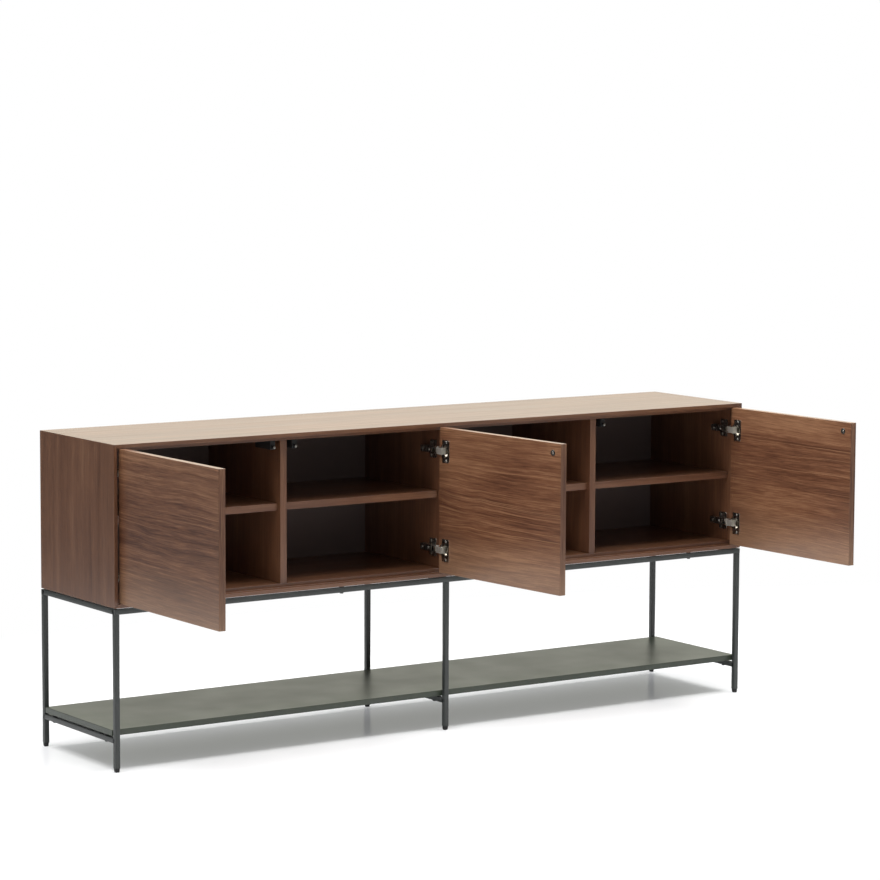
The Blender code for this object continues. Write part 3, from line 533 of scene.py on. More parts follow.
def lay_grain(mesh, along, across, seed):
    """Gives each face the veneer's coordinates: along the grain, across it, and which sheet lies on it."""
    through = along.cross(across)
    chance = random.Random(seed)
    shift = Vector((chance.uniform(-2.0, 2.0), chance.uniform(-0.16, 0.16), chance.uniform(0.0, 9.0)))
    values = [0.0] * (3 * len(mesh.loops))
    for face in mesh.polygons:
        on_end, on_edge, on_face = (abs(face.normal.dot(way)) for way in (along, across, through))
        if on_end > max(on_edge, on_face):
            u, v, sheet = across, through, END_SHEET
        elif on_edge > on_face:
            u, v, sheet = along, through, EDGE_SHEET
        else:
            u, v, sheet = along, across, SECOND_SHEET if face.normal.dot(through) > 0 else 0.0
        for loop in face.loop_indices:
            point = mesh.vertices[mesh.loops[loop].vertex_index].co
            values[3 * loop:3 * loop + 3] = (point.dot(u) + shift.x, point.dot(v) + shift.y, sheet + shift.z)
    mesh.attributes.new(GRAIN, "FLOAT_VECTOR", "CORNER").data.foreach_set("vector", values)
    return mesh


def show(name, mesh, material, body, slot, *nodes):
    """A finished mesh as a piece that rides on a body in place of CAD nodes."""
    if material:
        mesh.materials.clear()
        mesh.materials.append(material)
    piece = linked(name, mesh)
    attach(piece, body)
    if nodes:
        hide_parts(*nodes)


# Geometry Nodes

def growing_tree(name, inputs, write):
    """The Geometry Nodes tree of that name; write gets its tree and input wires and returns its shape.

    Every tree has a finish as its last input, and ends in real meshes with that material.
    """
    found = bpy.data.node_groups.get(name)
    if found:
        return found
    group = bpy.data.node_groups.new(name, "GeometryNodeTree")
    inputs = (*inputs, ("Finish", "Material"))
    for label, kind in inputs:
        group.interface.new_socket(label, in_out="INPUT", socket_type=f"NodeSocket{kind}")
    group.interface.new_socket("Geometry", in_out="OUTPUT", socket_type="NodeSocketGeometry")
    tree = Tree(group)
    entry = group.nodes.new("NodeGroupInput")
    given = {label: Wire(tree, entry.outputs[label]) for label, _ in inputs}
    real = tree.node("GeometryNodeRealizeInstances", {0: write(tree, given)})
    done = tree.node("GeometryNodeSetMaterial", {"Geometry": real, "Material": given["Finish"]})
    tree.node("NodeGroupOutput", {0: done})
    return group


def tube_tree():
    """Square tube with rounded corners along the edges of a mesh of lines, all in one mesh."""
    def write(tree, given):
        square = tree.node("GeometryNodeCurvePrimitiveQuadrilateral", {
            "Width": given["Width"], "Height": given["Width"]})
        section = tree.node("GeometryNodeFilletCurve", {
            "Curve": square, "Radius": given["Corner radius"], "Count": given["Corner steps"]}, mode="POLY")
        lines = tree.node("GeometryNodeMeshToCurve", {"Mesh": given["Lines"]})
        return tree.node("GeometryNodeCurveToMesh", {
            "Curve": lines, "Profile Curve": section, "Fill Caps": True})
    return growing_tree("square_tube_along_lines", (
        ("Lines", "Geometry"), ("Width", "Float"), ("Corner radius", "Float"), ("Corner steps", "Int")), write)


def pattern_tree():
    """A pattern piece on every point, turned to the point's axis and spun about it by chance."""
    def write(tree, given):
        pattern = tree.node("GeometryNodeObjectInfo", {"Object": given["Pattern"], "As Instance": True},
                            out="Geometry")
        axis = tree.node("GeometryNodeInputNamedAttribute", {"Name": AXIS}, data_type="FLOAT_VECTOR")
        facing = tree.node("FunctionNodeAlignRotationToVector", {"Vector": axis}, axis="Z")
        chance = tree.node("FunctionNodeRandomValue", {2: 0.0, 3: given["Spin"], "Seed": given["Seed"]},
                           out=1, data_type="FLOAT")
        spin = tree.node("FunctionNodeAxisAngleToRotation", {"Axis": (0.0, 0.0, 1.0), "Angle": chance})
        turn = tree.node("FunctionNodeRotateRotation", {0: facing, 1: spin}, rotation_space="LOCAL")
        return tree.node("GeometryNodeInstanceOnPoints", {
            "Points": given["Points"], "Instance": pattern, "Rotation": turn, "Scale": given["Size"]})
    return growing_tree("pattern_on_points", (
        ("Points", "Geometry"), ("Pattern", "Object"), ("Size", "Float"), ("Spin", "Float"),
        ("Seed", "Int")), write)


def grown(name, source, group, values):
    """The plain mesh that a tree makes from a source mesh, with its inputs set by name."""
    holder = linked(name, source)
    step = holder.modifiers.new("nodes", "NODES")
    step.node_group = group
    for item in group.interface.items_tree:
        if item.in_out == "INPUT" and item.name in values:
            step[item.identifier] = values[item.name]
    return plain_mesh(holder)


def mesh_of_points(name, places):
    """Loose points from (place, axis) pairs, with the axis as an attribute."""
    mesh = bpy.data.meshes.new(name)
    mesh.from_pydata([place for place, _ in places], [], [])
    values = [number for _, axis in places for number in axis]
    mesh.attributes.new(AXIS, "FLOAT_VECTOR", "POINT").data.foreach_set("vector", values)
    return mesh


def show_repeated(name, pattern, places, finish, seed, body, slot, *nodes, spin=2 * math.pi):
    """Shows one piece: a pattern repeated at every (place, axis)."""
    model = linked(f"{name}_pattern", pattern)
    mesh = grown(name, mesh_of_points(name, places), pattern_tree(), {
        "Pattern": model, "Size": 1.0, "Spin": spin, "Seed": seed, "Finish": finish})
    bpy.data.objects.remove(model, do_unlink=True)
    show(name, mesh, None, body, slot, *nodes)


# Small pieces that are repeated, each drawn on its seat with +Z away from it

SUNK = 0.0005                # how far a head or a disc reaches into its seat
FOOT_SOLE = 0.010            # height of the part of a foot that shows
FOOT_TOE, FOOT_HALF, FOOT_PLUG = 0.0043, 0.0054, 0.0046   # half widths: at the floor, above it, in the tube


def screw_pattern(radius, height):
    """A low domed head with a cross recess."""
    head = rough_object("screw_head", turned((0, 0, 0), Z, (
        (-SUNK, radius), (height * 0.25, radius), (height * 0.6, radius * 0.88),
        (height * 0.85, radius * 0.64), (height, radius * 0.3)), 20))
    for long, wide in ((0.62, 0.13), (0.13, 0.62)):
        combine(head, box((-radius * long, -radius * wide, height * 0.3),
                          (radius * long, radius * wide, height * 2)))
    return smoothed(head)


def turned_pattern(name, profile, sides=20):
    return smoothed(rough_object(name, turned((0, 0, 0), Z, profile, sides)))


def foot_pattern():
    """A tapered square plug with rounded corners."""
    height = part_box("foot_front_left")[1].z
    sections = ((0.0, FOOT_TOE), (FOOT_SOLE * 0.55, FOOT_HALF), (FOOT_SOLE, FOOT_HALF),
                (FOOT_SOLE, FOOT_PLUG), (height, FOOT_PLUG))
    plug = turned((0, 0, 0), Z, [(z, half * math.sqrt(2)) for z, half in sections], 4)
    return rounded(rough_object("foot", plug), FOOT_EDGE, 3)


# The box

BACK_SCREW_INSET = 0.080
BACK_SCREW = (0.0032, 0.0012)   # radius and height of the head, here as for every screw


def board_section():
    """(y, distance from the outer face) round a box board, rebated for the doors and the backs."""
    return ((FRONT, 0.0), (FRONT, LIP), (STEP, LIP), (STEP, BOARD), (BACK_STEP, BOARD),
            (BACK_STEP, BACK_LIP), (BACK, BACK_LIP), (BACK, 0.0))


def mitred_board(name, half_length, place):
    """A box board cut at 45 degrees at both ends; place turns (along, y, deep) into a point."""
    slack = FIT / math.sqrt(2)
    ends = [[place(side * (half_length - deep - slack), y, deep) for y, deep in board_section()]
            for side in (-1, 1)]
    return rounded(rough_object(name, skin(ends)), MITRED_EDGE)


class SIDEBOARD_OT_box(bpy.types.Operator):
    """Makes the mitred top, bottom and sides and the three partitions, veneered"""
    bl_idname = "sideboard.box"
    bl_label = "Walnut box"

    def execute(self, context):
        half_height = (TOP - UNDERSIDE) / 2
        boards = (
            ("top_board", "top_panel", HALF, X, lambda along, y, deep: (along, y, TOP - deep)),
            ("bottom_board", "bottom_panel", HALF, X, lambda along, y, deep: (along, y, UNDERSIDE + deep)),
            ("left_side_board", "left_side_panel", half_height, Z,
             lambda along, y, deep: (deep - HALF, y, MIDDLE_HEIGHT + along)),
            ("right_side_board", "right_side_panel", half_height, Z,
             lambda along, y, deep: (HALF - deep, y, MIDDLE_HEIGHT + along)),
        )
        for seed, (name, node, half_length, along, place) in enumerate(boards):
            mesh = lay_grain(mitred_board(name, half_length, place), along, Y, seed)
            show(name, mesh, straight_walnut(), "cabinet", "walnut_box", node)
        for seed, (node, x) in enumerate(zip(PARTITION_NAMES, PARTITIONS), len(boards)):
            mesh = board(node, (x - BOARD / 2, STEP, UNDERSIDE + BOARD + FIT),
                         (x + BOARD / 2, BACK_STEP, TOP - BOARD - FIT))
            lay_grain(mesh, Z, Y, seed)
            show(f"{node}_board", mesh, straight_walnut(), "cabinet", "walnut_box", node)
        return {"FINISHED"}


class SIDEBOARD_OT_backs(bpy.types.Operator):
    """Makes the two thin backs in the rear rebate, with their screws"""
    bl_idname = "sideboard.backs"
    bl_label = "Backs"

    def execute(self, context):
        screws = []
        near = BACK_STEP + FIT
        for side, way in (("left", -1), ("right", 1)):
            node = f"back_panel_{side}"
            low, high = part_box(node)
            mesh = board(node, (low.x, near, low.z), (high.x, near + BACK_PANEL, high.z), BACK_EDGE)
            show(f"{side}_back_board", mesh, back_board(), "cabinet", "walnut_box", node)
            columns = (way * (HALF - (BOARD + BACK_LIP) / 2), PARTITIONS[1 + way], way * BOARD / 4)
            screws += [((x, near + BACK_PANEL, z), Y) for x in columns
                       for z in (UNDERSIDE + BACK_SCREW_INSET, TOP - BACK_SCREW_INSET)]
        show_repeated("back_screw_heads", screw_pattern(*BACK_SCREW), screws, zinc(), 1, "cabinet", "zinc")
        return {"FINISHED"}


PIN_INSET = 0.045
PIN_RADIUS = 0.0025
PIN_LENGTH = 0.008
PIN_EASE = 0.0006            # cut off round a pin's inner end
SHELF_END_GAP = 0.001


class SIDEBOARD_OT_inner_shelves(bpy.types.Operator):
    """Makes the four inner shelves and the sixteen pins that carry them"""
    bl_idname = "sideboard.inner_shelves"
    bl_label = "Inner shelves"

    def execute(self, context):
        pins = []
        for i in range(1, BAYS + 1):
            node = f"inner_shelf_{i}"
            low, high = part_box(node)
            mesh = lay_grain(board(node, low, high), X, Y, 30 + i)
            show(f"{node}_board", mesh, straight_walnut(), "cabinet", "walnut_box", node)
            z = low.z - FIT - PIN_RADIUS
            for y in (low.y + PIN_INSET, high.y - PIN_INSET):
                pins += [((low.x - SHELF_END_GAP, y, z), X), ((high.x + SHELF_END_GAP, y, z), -X)]
        peg = turned_pattern("shelf_peg", (
            (-SHELF_END_GAP, PIN_RADIUS), (PIN_LENGTH - PIN_EASE, PIN_RADIUS),
            (PIN_LENGTH, PIN_RADIUS - PIN_EASE)))
        show_repeated("shelf_pegs", peg, pins, nickel(), 2, "cabinet", "nickel")
        return {"FINISHED"}


# Doors, drawn shut and hinged on the left, from their turning axis

def half_turn(side):
    """A hinged-right piece is the hinged-left one turned half round its own Y axis."""
    return Matrix.Rotation(math.pi if side < 0 else 0.0, 4, "Y")


def door_place(label):
    """Which way a door is hinged, and the matrix that takes its drawn place to where it stands open."""
    joint = JOINTS[f"{label}_door_swing"]
    side = joint["axis"][2]
    turn = Matrix.Rotation(math.radians(-side * joint["range_deg"][1]), 4, "Z")
    return side, Matrix.Translation(joint["pos_m"]) @ turn @ half_turn(side)


CUP_X = 0.018                # cup's middle from the turning axis
CUP_DEPTH = 0.0115
CUP_RADIUS = 0.0175
PAST = 0.002                 # how far a cutting shape stands out of what it cuts


class SIDEBOARD_OT_doors(bpy.types.Operator):
    """Makes the three door panels, bored for their hinge cups, with the grain across"""
    bl_idname = "sideboard.doors"
    bl_label = "Doors"

    def execute(self, context):
        for seed, label in enumerate(DOORS, 40):
            panel = rough_object(f"{label}_door", box(
                (-PIVOT_INSET, 0.0, -DOOR_HEIGHT / 2), (DOOR_WIDTH - PIVOT_INSET, DOOR, DOOR_HEIGHT / 2)))
            for up in (-1, 1):
                combine(panel, rod((CUP_X, DOOR + PAST, up * HINGE_RISE), -Y, CUP_DEPTH + PAST + FIT,
                                   CUP_RADIUS + FIT, 40))
            mesh = lay_grain(rounded(panel, DOOR_EDGE), X, Z, seed)
            mesh.transform(door_place(label)[1])
            show(f"{label}_door_board", mesh, figured_walnut(), f"{label}_door", "walnut_doors",
                 f"{label}_door_panel")
        return {"FINISHED"}


# The base

BOX_BOLTS = (-0.80, -0.32, 0.32, 0.80)
SHELF_BOLT_INSET = 0.050
BOX_SPACER, SHELF_SPACER, SPACER_RADIUS = 0.0025, 0.0045, 0.006
BOLT_RADIUS, BOLT_HEIGHT = 0.005, 0.003


def leg_x(row):
    return (LEG_ROWS.index(row) - 1) * (HALF - TUBE / 2)


def bolt_pattern():
    """A button head with a six-sided socket."""
    head = rough_object("bolt_head", turned((0, 0, 0), Z, (
        (-SUNK, BOLT_RADIUS), (BOLT_HEIGHT * 0.6, BOLT_RADIUS), (BOLT_HEIGHT * 0.9, BOLT_RADIUS * 0.84),
        (BOLT_HEIGHT, BOLT_RADIUS * 0.68)), 24))
    combine(head, rod((0, 0, BOLT_HEIGHT * 0.4), Z, BOLT_HEIGHT, BOLT_RADIUS * 0.44, 6))
    return smoothed(head)


def show_tubes(name, lines, node):
    """Shows square tubes along (start, end) pairs, all in one mesh."""
    mesh = bpy.data.meshes.new(name)
    edges = [(2 * i, 2 * i + 1) for i in range(len(lines))]
    mesh.from_pydata([point for line in lines for point in line], edges, [])
    skinned = grown(name, mesh, tube_tree(), {
        "Width": TUBE, "Corner radius": settings("steel").corner_radius, "Corner steps": 3,
        "Finish": frame_paint()})
    show(name, skinned, None, "cabinet", "dark_steel", node)


class SIDEBOARD_OT_base(bpy.types.Operator):
    """Makes the ladder frame under the box, the three pairs of legs, and their bolts and spacers"""
    bl_idname = "sideboard.base"
    bl_label = "Steel base"

    def execute(self, context):
        half = TUBE / 2
        front, back = FRONT + half, BACK - half
        top = UNDERSIDE - BOX_SPACER - half
        rail_bottom = top - half
        lines = [((-HALF, y, top), (HALF, y, top)) for y in (front, back)]
        lines += [((leg_x(row), front, top), (leg_x(row), back, top)) for row in LEG_ROWS]
        show_tubes("top_frame_tubes", lines, "base_top_frame")
        leg_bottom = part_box("left_leg_frame")[0].z
        low_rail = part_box("low_shelf")[0].z - SHELF_SPACER - half
        for row in LEG_ROWS:
            x = leg_x(row)
            lines = [((x, y, leg_bottom), (x, y, rail_bottom - FIT)) for y in (front, back)]
            lines.append(((x, front, low_rail), (x, back, low_rail)))
            show_tubes(f"{row}_leg_tubes", lines, f"{row}_leg_frame")
        box_bolts = [(x, y, rail_bottom) for x in BOX_BOLTS for y in (front, back)]
        shelf_bolts = [(leg_x(row), y, low_rail - half) for row in LEG_ROWS
                       for y in (front + SHELF_BOLT_INSET, back - SHELF_BOLT_INSET)]
        bolts = [(place, -Z) for place in box_bolts + shelf_bolts]
        show_repeated("bolt_heads", bolt_pattern(), bolts, frame_paint(), 3, "cabinet", "dark_steel")
        for name, places, lift in (("box_spacers", box_bolts, BOX_SPACER),
                                   ("shelf_spacers", shelf_bolts, SHELF_SPACER)):
            disc = turned_pattern(name, ((-SUNK, SPACER_RADIUS), (lift - FIT, SPACER_RADIUS)), 24)
            above = [((x, y, z + TUBE), Z) for x, y, z in places]
            show_repeated(name, disc, above, black_plastic(), 4, "cabinet", "black_plastic")
        return {"FINISHED"}


class SIDEBOARD_OT_low_shelf(bpy.types.Operator):
    """Makes the painted shelf between the legs"""
    bl_idname = "sideboard.low_shelf"
    bl_label = "Low shelf"

    def execute(self, context):
        mesh = board("low_shelf_board", *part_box("low_shelf"), LOW_SHELF_EDGE, 3)
        show("low_shelf_board", mesh, shelf_paint(), "cabinet", "shelf_grey", "low_shelf")
        return {"FINISHED"}


class SIDEBOARD_OT_feet(bpy.types.Operator):
    """Makes the six plugs that the legs stand on"""
    bl_idname = "sideboard.feet"
    bl_label = "Feet"

    def execute(self, context):
        half = TUBE / 2
        places = [((leg_x(row), y, 0.0), Z) for row in LEG_ROWS for y in (FRONT + half, BACK - half)]
        nodes = [f"foot_{end}_{row}" for row in LEG_ROWS for end in ("front", "back")]
        show_repeated("feet", foot_pattern(), places, black_plastic(), 5, "cabinet", "black_plastic", *nodes,
                      spin=0.0)
        return {"FINISHED"}


# Concealed hinges, drawn hinged on the left: x from the board's face, y from the front of the box

FLANGE = 0.0012
CUP_RIM = 0.019
CUP_WALL = 0.0022
CUP_FLOOR = 0.0013
CUP_HOLLOW_EASE = 0.002      # slope round the bottom of the hollow
CUP_SCREW = (0.0034, 0.0018)
CUP_SCREW_OFFSET = 0.006
CUP_SCREW_PITCH = 0.048
CUP_WING_NEAR, CUP_WING_FAR, CUP_WING_UP, CUP_WING_CORNER = -0.009, 0.019, 0.0295, 0.006
CHEEK_NEAR, CHEEK_FAR = -0.010, 0.0015   # recesses in the cup's cheeks, for the link
ARM_LIFT, ARM_TOP = 0.002, 0.017
ARM_FRONT, ARM_BACK, ARM_MOUTH, ARM_NOSE = 0.0205, 0.088, 0.036, 0.0095
ARM_HALF, ARM_WALL = 0.0085, 0.0015
ARM_PIVOT_LIFT, ARM_PIVOT_DEPTH = 0.008, 0.024
ARM_SCREWS = (0.050, 0.078)
ARM_PIN, ARM_PIN_OUT = 0.0015, 0.0006    # the pin's radius, and how far it stands out of the arm
LINK_HALF, LINK_WIDE, LINK_NARROW, LINK_EYE, LINK_NECK = 0.0011, 0.0082, 0.0064, 0.0032, 0.0135
LINK_LINE = ((0.013, -0.015), (0.016, -0.038), (0.002, -0.0365))
LINK_BORE, LINK_BORE_HALF = 0.0018, 0.012
PLATE = 0.0014
PLATE_FRONT, PLATE_BACK = 0.034, 0.090
PLATE_SCREW = (0.0036, 0.0018)
PLATE_SCREW_Y, PLATE_SCREW_PITCH = 0.059, 0.032
WING_HALF, WING_BEFORE, WING_BEHIND = 0.0235, 0.023, 0.008
WING_CUT = 0.003
RAIL_HEIGHT, RAIL_INSET = 0.0055, 0.002


def baked_tool(made):
    """An object whose own cuts are already in its mesh, ready to cut another."""
    return linked(f"{made.name}_baked", plain_mesh(made))


def cup_mesh():
    """A hinge cup from its middle, with the door's inner face at y = 0."""
    cup = rough_object("cup", turned((0, 0, 0), Y, (
        (-CUP_DEPTH, CUP_RADIUS), (FIT, CUP_RADIUS), (FIT, CUP_RIM), (FIT + FLANGE, CUP_RIM)), 48))
    up, corner = CUP_WING_UP, CUP_WING_CORNER
    arc = [(CUP_WING_FAR - corner + corner * math.cos(a), up - corner + corner * math.sin(a))
           for a in (math.pi / 2 * i / 5 for i in range(6))]
    outline = [(CUP_WING_NEAR, -up)] + [(x, -z) for x, z in arc[::-1]] + arc + [(CUP_WING_NEAR, up)]
    combine(cup, prism(outline, FIT, FIT + FLANGE, "y"), "UNION")
    bore = CUP_RADIUS - CUP_WALL
    hollow = rough_object("cup_hollow", turned((0, CUP_FLOOR - CUP_DEPTH, 0), Y, (
        (0.0, bore - CUP_HOLLOW_EASE), (CUP_HOLLOW_EASE, bore), (CUP_DEPTH + FLANGE + PAST, bore)), 48))
    for way in (-1, 1):
        inner, outer = sorted((way * (LINK_WIDE + FIT), way * CUP_RADIUS))
        combine(hollow, box((CHEEK_NEAR, -CUP_DEPTH, inner), (CHEEK_FAR, FIT + FLANGE, outer)))
    combine(cup, baked_tool(hollow))
    return rounded(cup, settings("hardware").edge * 0.7)


def arm_mesh():
    """A channel over the plate's rail, with the link's pin across its cheeks."""
    arm = rough_object("arm", prism((
        (ARM_LIFT, ARM_BACK), (ARM_LIFT, ARM_FRONT), (ARM_TOP - ARM_NOSE * 0.6, ARM_FRONT),
        (ARM_TOP, ARM_FRONT + ARM_NOSE), (ARM_TOP, ARM_BACK)), -ARM_HALF, ARM_HALF))
    inner, over, behind = ARM_TOP - ARM_WALL, 0.03, 0.1
    channel = ((0.0, 0.0), (over, 0.0), (over, ARM_MOUTH), (inner, ARM_MOUTH), (inner, behind), (0.0, behind))
    combine(arm, prism(channel, ARM_WALL - ARM_HALF, ARM_HALF - ARM_WALL))
    half = ARM_HALF + ARM_PIN_OUT
    combine(arm, rod((ARM_PIVOT_LIFT, ARM_PIVOT_DEPTH, -half), Z, 2 * half, ARM_PIN, 16), "UNION")
    return rounded(arm, settings("hardware").edge)


def plate_mesh():
    """Mounting plate: a flat foot with two rounded wings, and the rail that the arm clips over."""
    front, back, wing = PLATE_SCREW_Y - WING_BEFORE, PLATE_SCREW_Y + WING_BEHIND, WING_HALF - WING_CUT
    side = [(PLATE_FRONT, ARM_HALF), (front, ARM_HALF), (front, wing), (front + WING_CUT, WING_HALF),
            (back - WING_CUT, WING_HALF), (back, wing), (back, ARM_HALF), (PLATE_BACK, ARM_HALF)]
    plate = rough_object("plate", prism(side + [(y, -z) for y, z in side[::-1]], FIT, FIT + PLATE, "x"))
    half = ARM_HALF - ARM_WALL - FIT
    combine(plate, box((PLATE / 2, ARM_MOUTH + RAIL_INSET, -half),
                       (PLATE + RAIL_HEIGHT, ARM_BACK - RAIL_INSET, half)), "UNION")
    return rounded(plate, settings("hardware").edge)


def link_mesh():
    """The bent link between the arm and the cup, from its pin, with the door at a right angle."""
    start = tuple(Vector(LINK_LINE[0]).normalized() * LINK_EYE * 0.6)
    link = rough_object("link", prism(stroke((start, *LINK_LINE), LINK_HALF), -LINK_WIDE, LINK_WIDE))
    for low in (-LINK_WIDE - PAST, LINK_NARROW):
        combine(link, rod((0, 0, low), Z, LINK_WIDE + PAST - LINK_NARROW, LINK_NECK, 24))
    combine(link, rod((0, 0, -LINK_NARROW), Z, 2 * LINK_NARROW, LINK_EYE, 24), "UNION")
    combine(link, rod((0, 0, -LINK_BORE_HALF), Z, 2 * LINK_BORE_HALF, LINK_BORE, 16))
    return rounded(link, settings("hardware").edge)


def hinge_places(label):
    """For each level of a door's hinges: its name, and the matrices of its arm, its link and its cup."""
    side, door = door_place(label)
    swing, turn = JOINTS[f"{label}_door_swing"], JOINTS[f"{label}_links_turn"]
    pivot = Vector(turn["pos_m"])
    seat = Vector((pivot.x - side * ARM_PIVOT_LIFT, FRONT, pivot.z))
    open_past_square = Matrix.Rotation(math.radians(-side * (swing["range_deg"][1] - 90.0)), 4, "Z")
    for up, level in LEVELS:
        rise = Matrix.Translation((0, 0, up * HINGE_RISE))
        arm = rise @ Matrix.Translation(seat) @ half_turn(side)
        link = rise @ Matrix.Translation(pivot) @ open_past_square @ half_turn(side)
        cup = door @ Matrix.Translation((CUP_X, DOOR, side * up * HINGE_RISE))
        yield f"{label}_door_{level}_hinge", arm, link, cup


def points_on(matrix, places, axis):
    """(place, axis) pairs of screws, taken from a piece's drawn place to its real one."""
    return [(matrix @ Vector(place), matrix.to_3x3() @ axis) for place in places]


class SIDEBOARD_OT_hinges(bpy.types.Operator):
    """Makes the six concealed hinges: cups, links, arms, mounting plates and their screws"""
    bl_idname = "sideboard.hinges"
    bl_label = "Hinges"

    def execute(self, context):
        cup, link, arm, plate = cup_mesh(), link_mesh(), arm_mesh(), plate_mesh()
        sides = (-1, 1)
        board_screws = []
        for label in DOORS:
            cup_screws = []
            door = f"{label}_door"
            for hinge, arm_place, link_place, cup_place in hinge_places(label):
                for kind, mesh, place, finish, body in (
                        ("cup", cup, cup_place, nickel(), door),
                        ("link", link, link_place, satin_nickel(), f"{label}_hinge_links"),
                        ("arm", arm, arm_place, nickel(), "cabinet"),
                        ("plate", plate, arm_place, nickel(), "cabinet")):
                    pressing = mesh.copy()
                    pressing.transform(place)
                    node = f"{hinge}_{kind}"
                    show(f"{node}_pressing", pressing, finish, body, "nickel", node)
                cup_screws += points_on(cup_place, [
                    (CUP_SCREW_OFFSET, FIT + FLANGE, way * CUP_SCREW_PITCH / 2) for way in sides], Y)
                board_screws += points_on(arm_place, [
                    (FIT + PLATE, PLATE_SCREW_Y, way * PLATE_SCREW_PITCH / 2) for way in sides] + [
                    (ARM_TOP, y, 0.0) for y in ARM_SCREWS], X)
            show_repeated(f"{label}_cup_screw_heads", screw_pattern(*CUP_SCREW), cup_screws, zinc(), 6,
                          door, "nickel")
        show_repeated("hinge_screw_heads", screw_pattern(*PLATE_SCREW), board_screws, zinc(), 7,
                      "cabinet", "nickel")
        return {"FINISHED"}


# Push latches and their striker discs

STRIKER_INSET, STRIKER_DROP, STRIKER_RADIUS, STRIKER = 0.030, 0.024, 0.0075, 0.0018
LATCH_HALF_WIDTH, LATCH_EAR, LATCH_EAR_LENGTH = 0.0068, 0.0025, 0.016
LATCH_BORE, LATCH_MOUTH = 0.043, 0.001   # length of the bore's cutter, and its part in front of the case
LATCH_SCREW = (0.0030, 0.0018)
MAGNET, MAGNET_ROOT = 0.0022, 0.001   # the bright tip of a plunger: before its sleeve, and inside it


class SIDEBOARD_OT_strikers(bpy.types.Operator):
    """Makes the three striker discs on the doors"""
    bl_idname = "sideboard.strikers"
    bl_label = "Strikers"

    def execute(self, context):
        for label in DOORS:
            side, place = door_place(label)
            x = DOOR_WIDTH - STRIKER_INSET - PIVOT_INSET
            z = side * (DOOR_HEIGHT / 2 - STRIKER_DROP)
            disc = turned_pattern("striker", (
                (0.0, STRIKER_RADIUS), (STRIKER * 0.65, STRIKER_RADIUS), (STRIKER, STRIKER_RADIUS * 0.9),
                (STRIKER, STRIKER_RADIUS * 0.52), (STRIKER * 0.6, STRIKER_RADIUS * 0.4)), 32)
            screw = screw_pattern(STRIKER_RADIUS * 0.44, STRIKER * 0.5)
            for name, pattern, lift, finish, seed, slot, nodes in (
                    (f"{label}_striker_disc", disc, 0.0, bronzed(), 8, "zinc", [f"{label}_door_striker"]),
                    (f"{label}_striker_screw_head", screw, STRIKER * 0.5, nickel(), 9, "nickel", [])):
                spots = points_on(place, [(x, DOOR + FIT + lift, z)], Y)
                show_repeated(name, pattern, spots, finish, seed, f"{label}_door", slot, *nodes)
        return {"FINISHED"}


class SIDEBOARD_OT_latches(bpy.types.Operator):
    """Makes the three push latches under the top, each with its plunger out"""
    bl_idname = "sideboard.latches"
    bl_label = "Latches"

    def execute(self, context):
        screws = []
        top = TOP - BOARD - FIT
        ear = top - LATCH_EAR
        for label in DOORS:
            low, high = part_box(f"{label}_latch_plunger")
            x, z, radius = (low.x + high.x) / 2, (low.z + high.z) / 2, (high.z - low.z) / 2
            low_case, high_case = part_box(f"{label}_latch_housing")
            front, under, end = low_case.y, low_case.z, high_case.y
            back = end - LATCH_EAR_LENGTH
            outline = ((back, under + LATCH_EAR), (back, ear), (end, ear), (end, top),
                       (front, top), (front, under), (back - LATCH_EAR, under))
            housing = rough_object("housing", prism(outline, x - LATCH_HALF_WIDTH, x + LATCH_HALF_WIDTH, "x"))
            combine(housing, rod((x, front - LATCH_MOUTH, z), Y, LATCH_BORE, radius + FIT, 24))
            show(f"{label}_latch_case", rounded(housing, LATCH_EDGE, 3), black_plastic(), "cabinet",
                 "black_plastic", f"{label}_latch_housing")
            screws.append(((x, back + LATCH_EAR_LENGTH / 2, ear), -Z))
            make_plunger(label, x, z, low.y, high.y, radius)
        show_repeated("latch_screw_heads", screw_pattern(*LATCH_SCREW), screws, zinc(), 10, "cabinet", "zinc")
        return {"FINISHED"}


def make_plunger(label, x, z, tip, back, radius):
    """A black sleeve with a bright magnet in its tip."""
    body = f"{label}_plunger"
    name = f"{body}_sleeve"
    sleeve = turned_pattern(name, ((0.0, radius * 0.86), (0.0006, radius), (back - tip - MAGNET, radius)), 32)
    show_repeated(name, sleeve, [((x, tip + MAGNET, z), Y)], black_plastic(), 11, body, "black_plastic",
                  f"{label}_latch_plunger")
    name = f"{body}_magnet"
    magnet = turned_pattern(name, (
        (0.0, radius * 0.66), (0.0004, radius * 0.78), (MAGNET + MAGNET_ROOT, radius * 0.78)), 32)
    show_repeated(name, magnet, [((x, tip, z), Y)], zinc(), 12, body, "nickel")


# Stage

CAMERA_PLACE = (-4.70999, -6.92930, 1.69160)
CAMERA_YAW, CAMERA_PITCH, CAMERA_ROLL = 0.59496, 0.11080, 0.00461
BACKDROP = (0.560, 0.828, 0.0)   # from the object towards what stands behind it in the view
FLOOR_REACH = 14.0
FLOOR_OVAL = (0.55, 1.0, 1.0)    # squeezes X, so that the floor under the object fades along an oval
FLOOR_FADE = (1.0, 1.9)          # where the floor turns white
WHITE_FADE = (1.9, 3.9)          # where that white stops lighting the object
FLOOR_SHEEN = 0.10
AMBIENT_TINT = (0.97, 1.0, 1.06, 1.0)
MIRRORED_TINT = (1.0, 1.0, 0.86, 1.0)


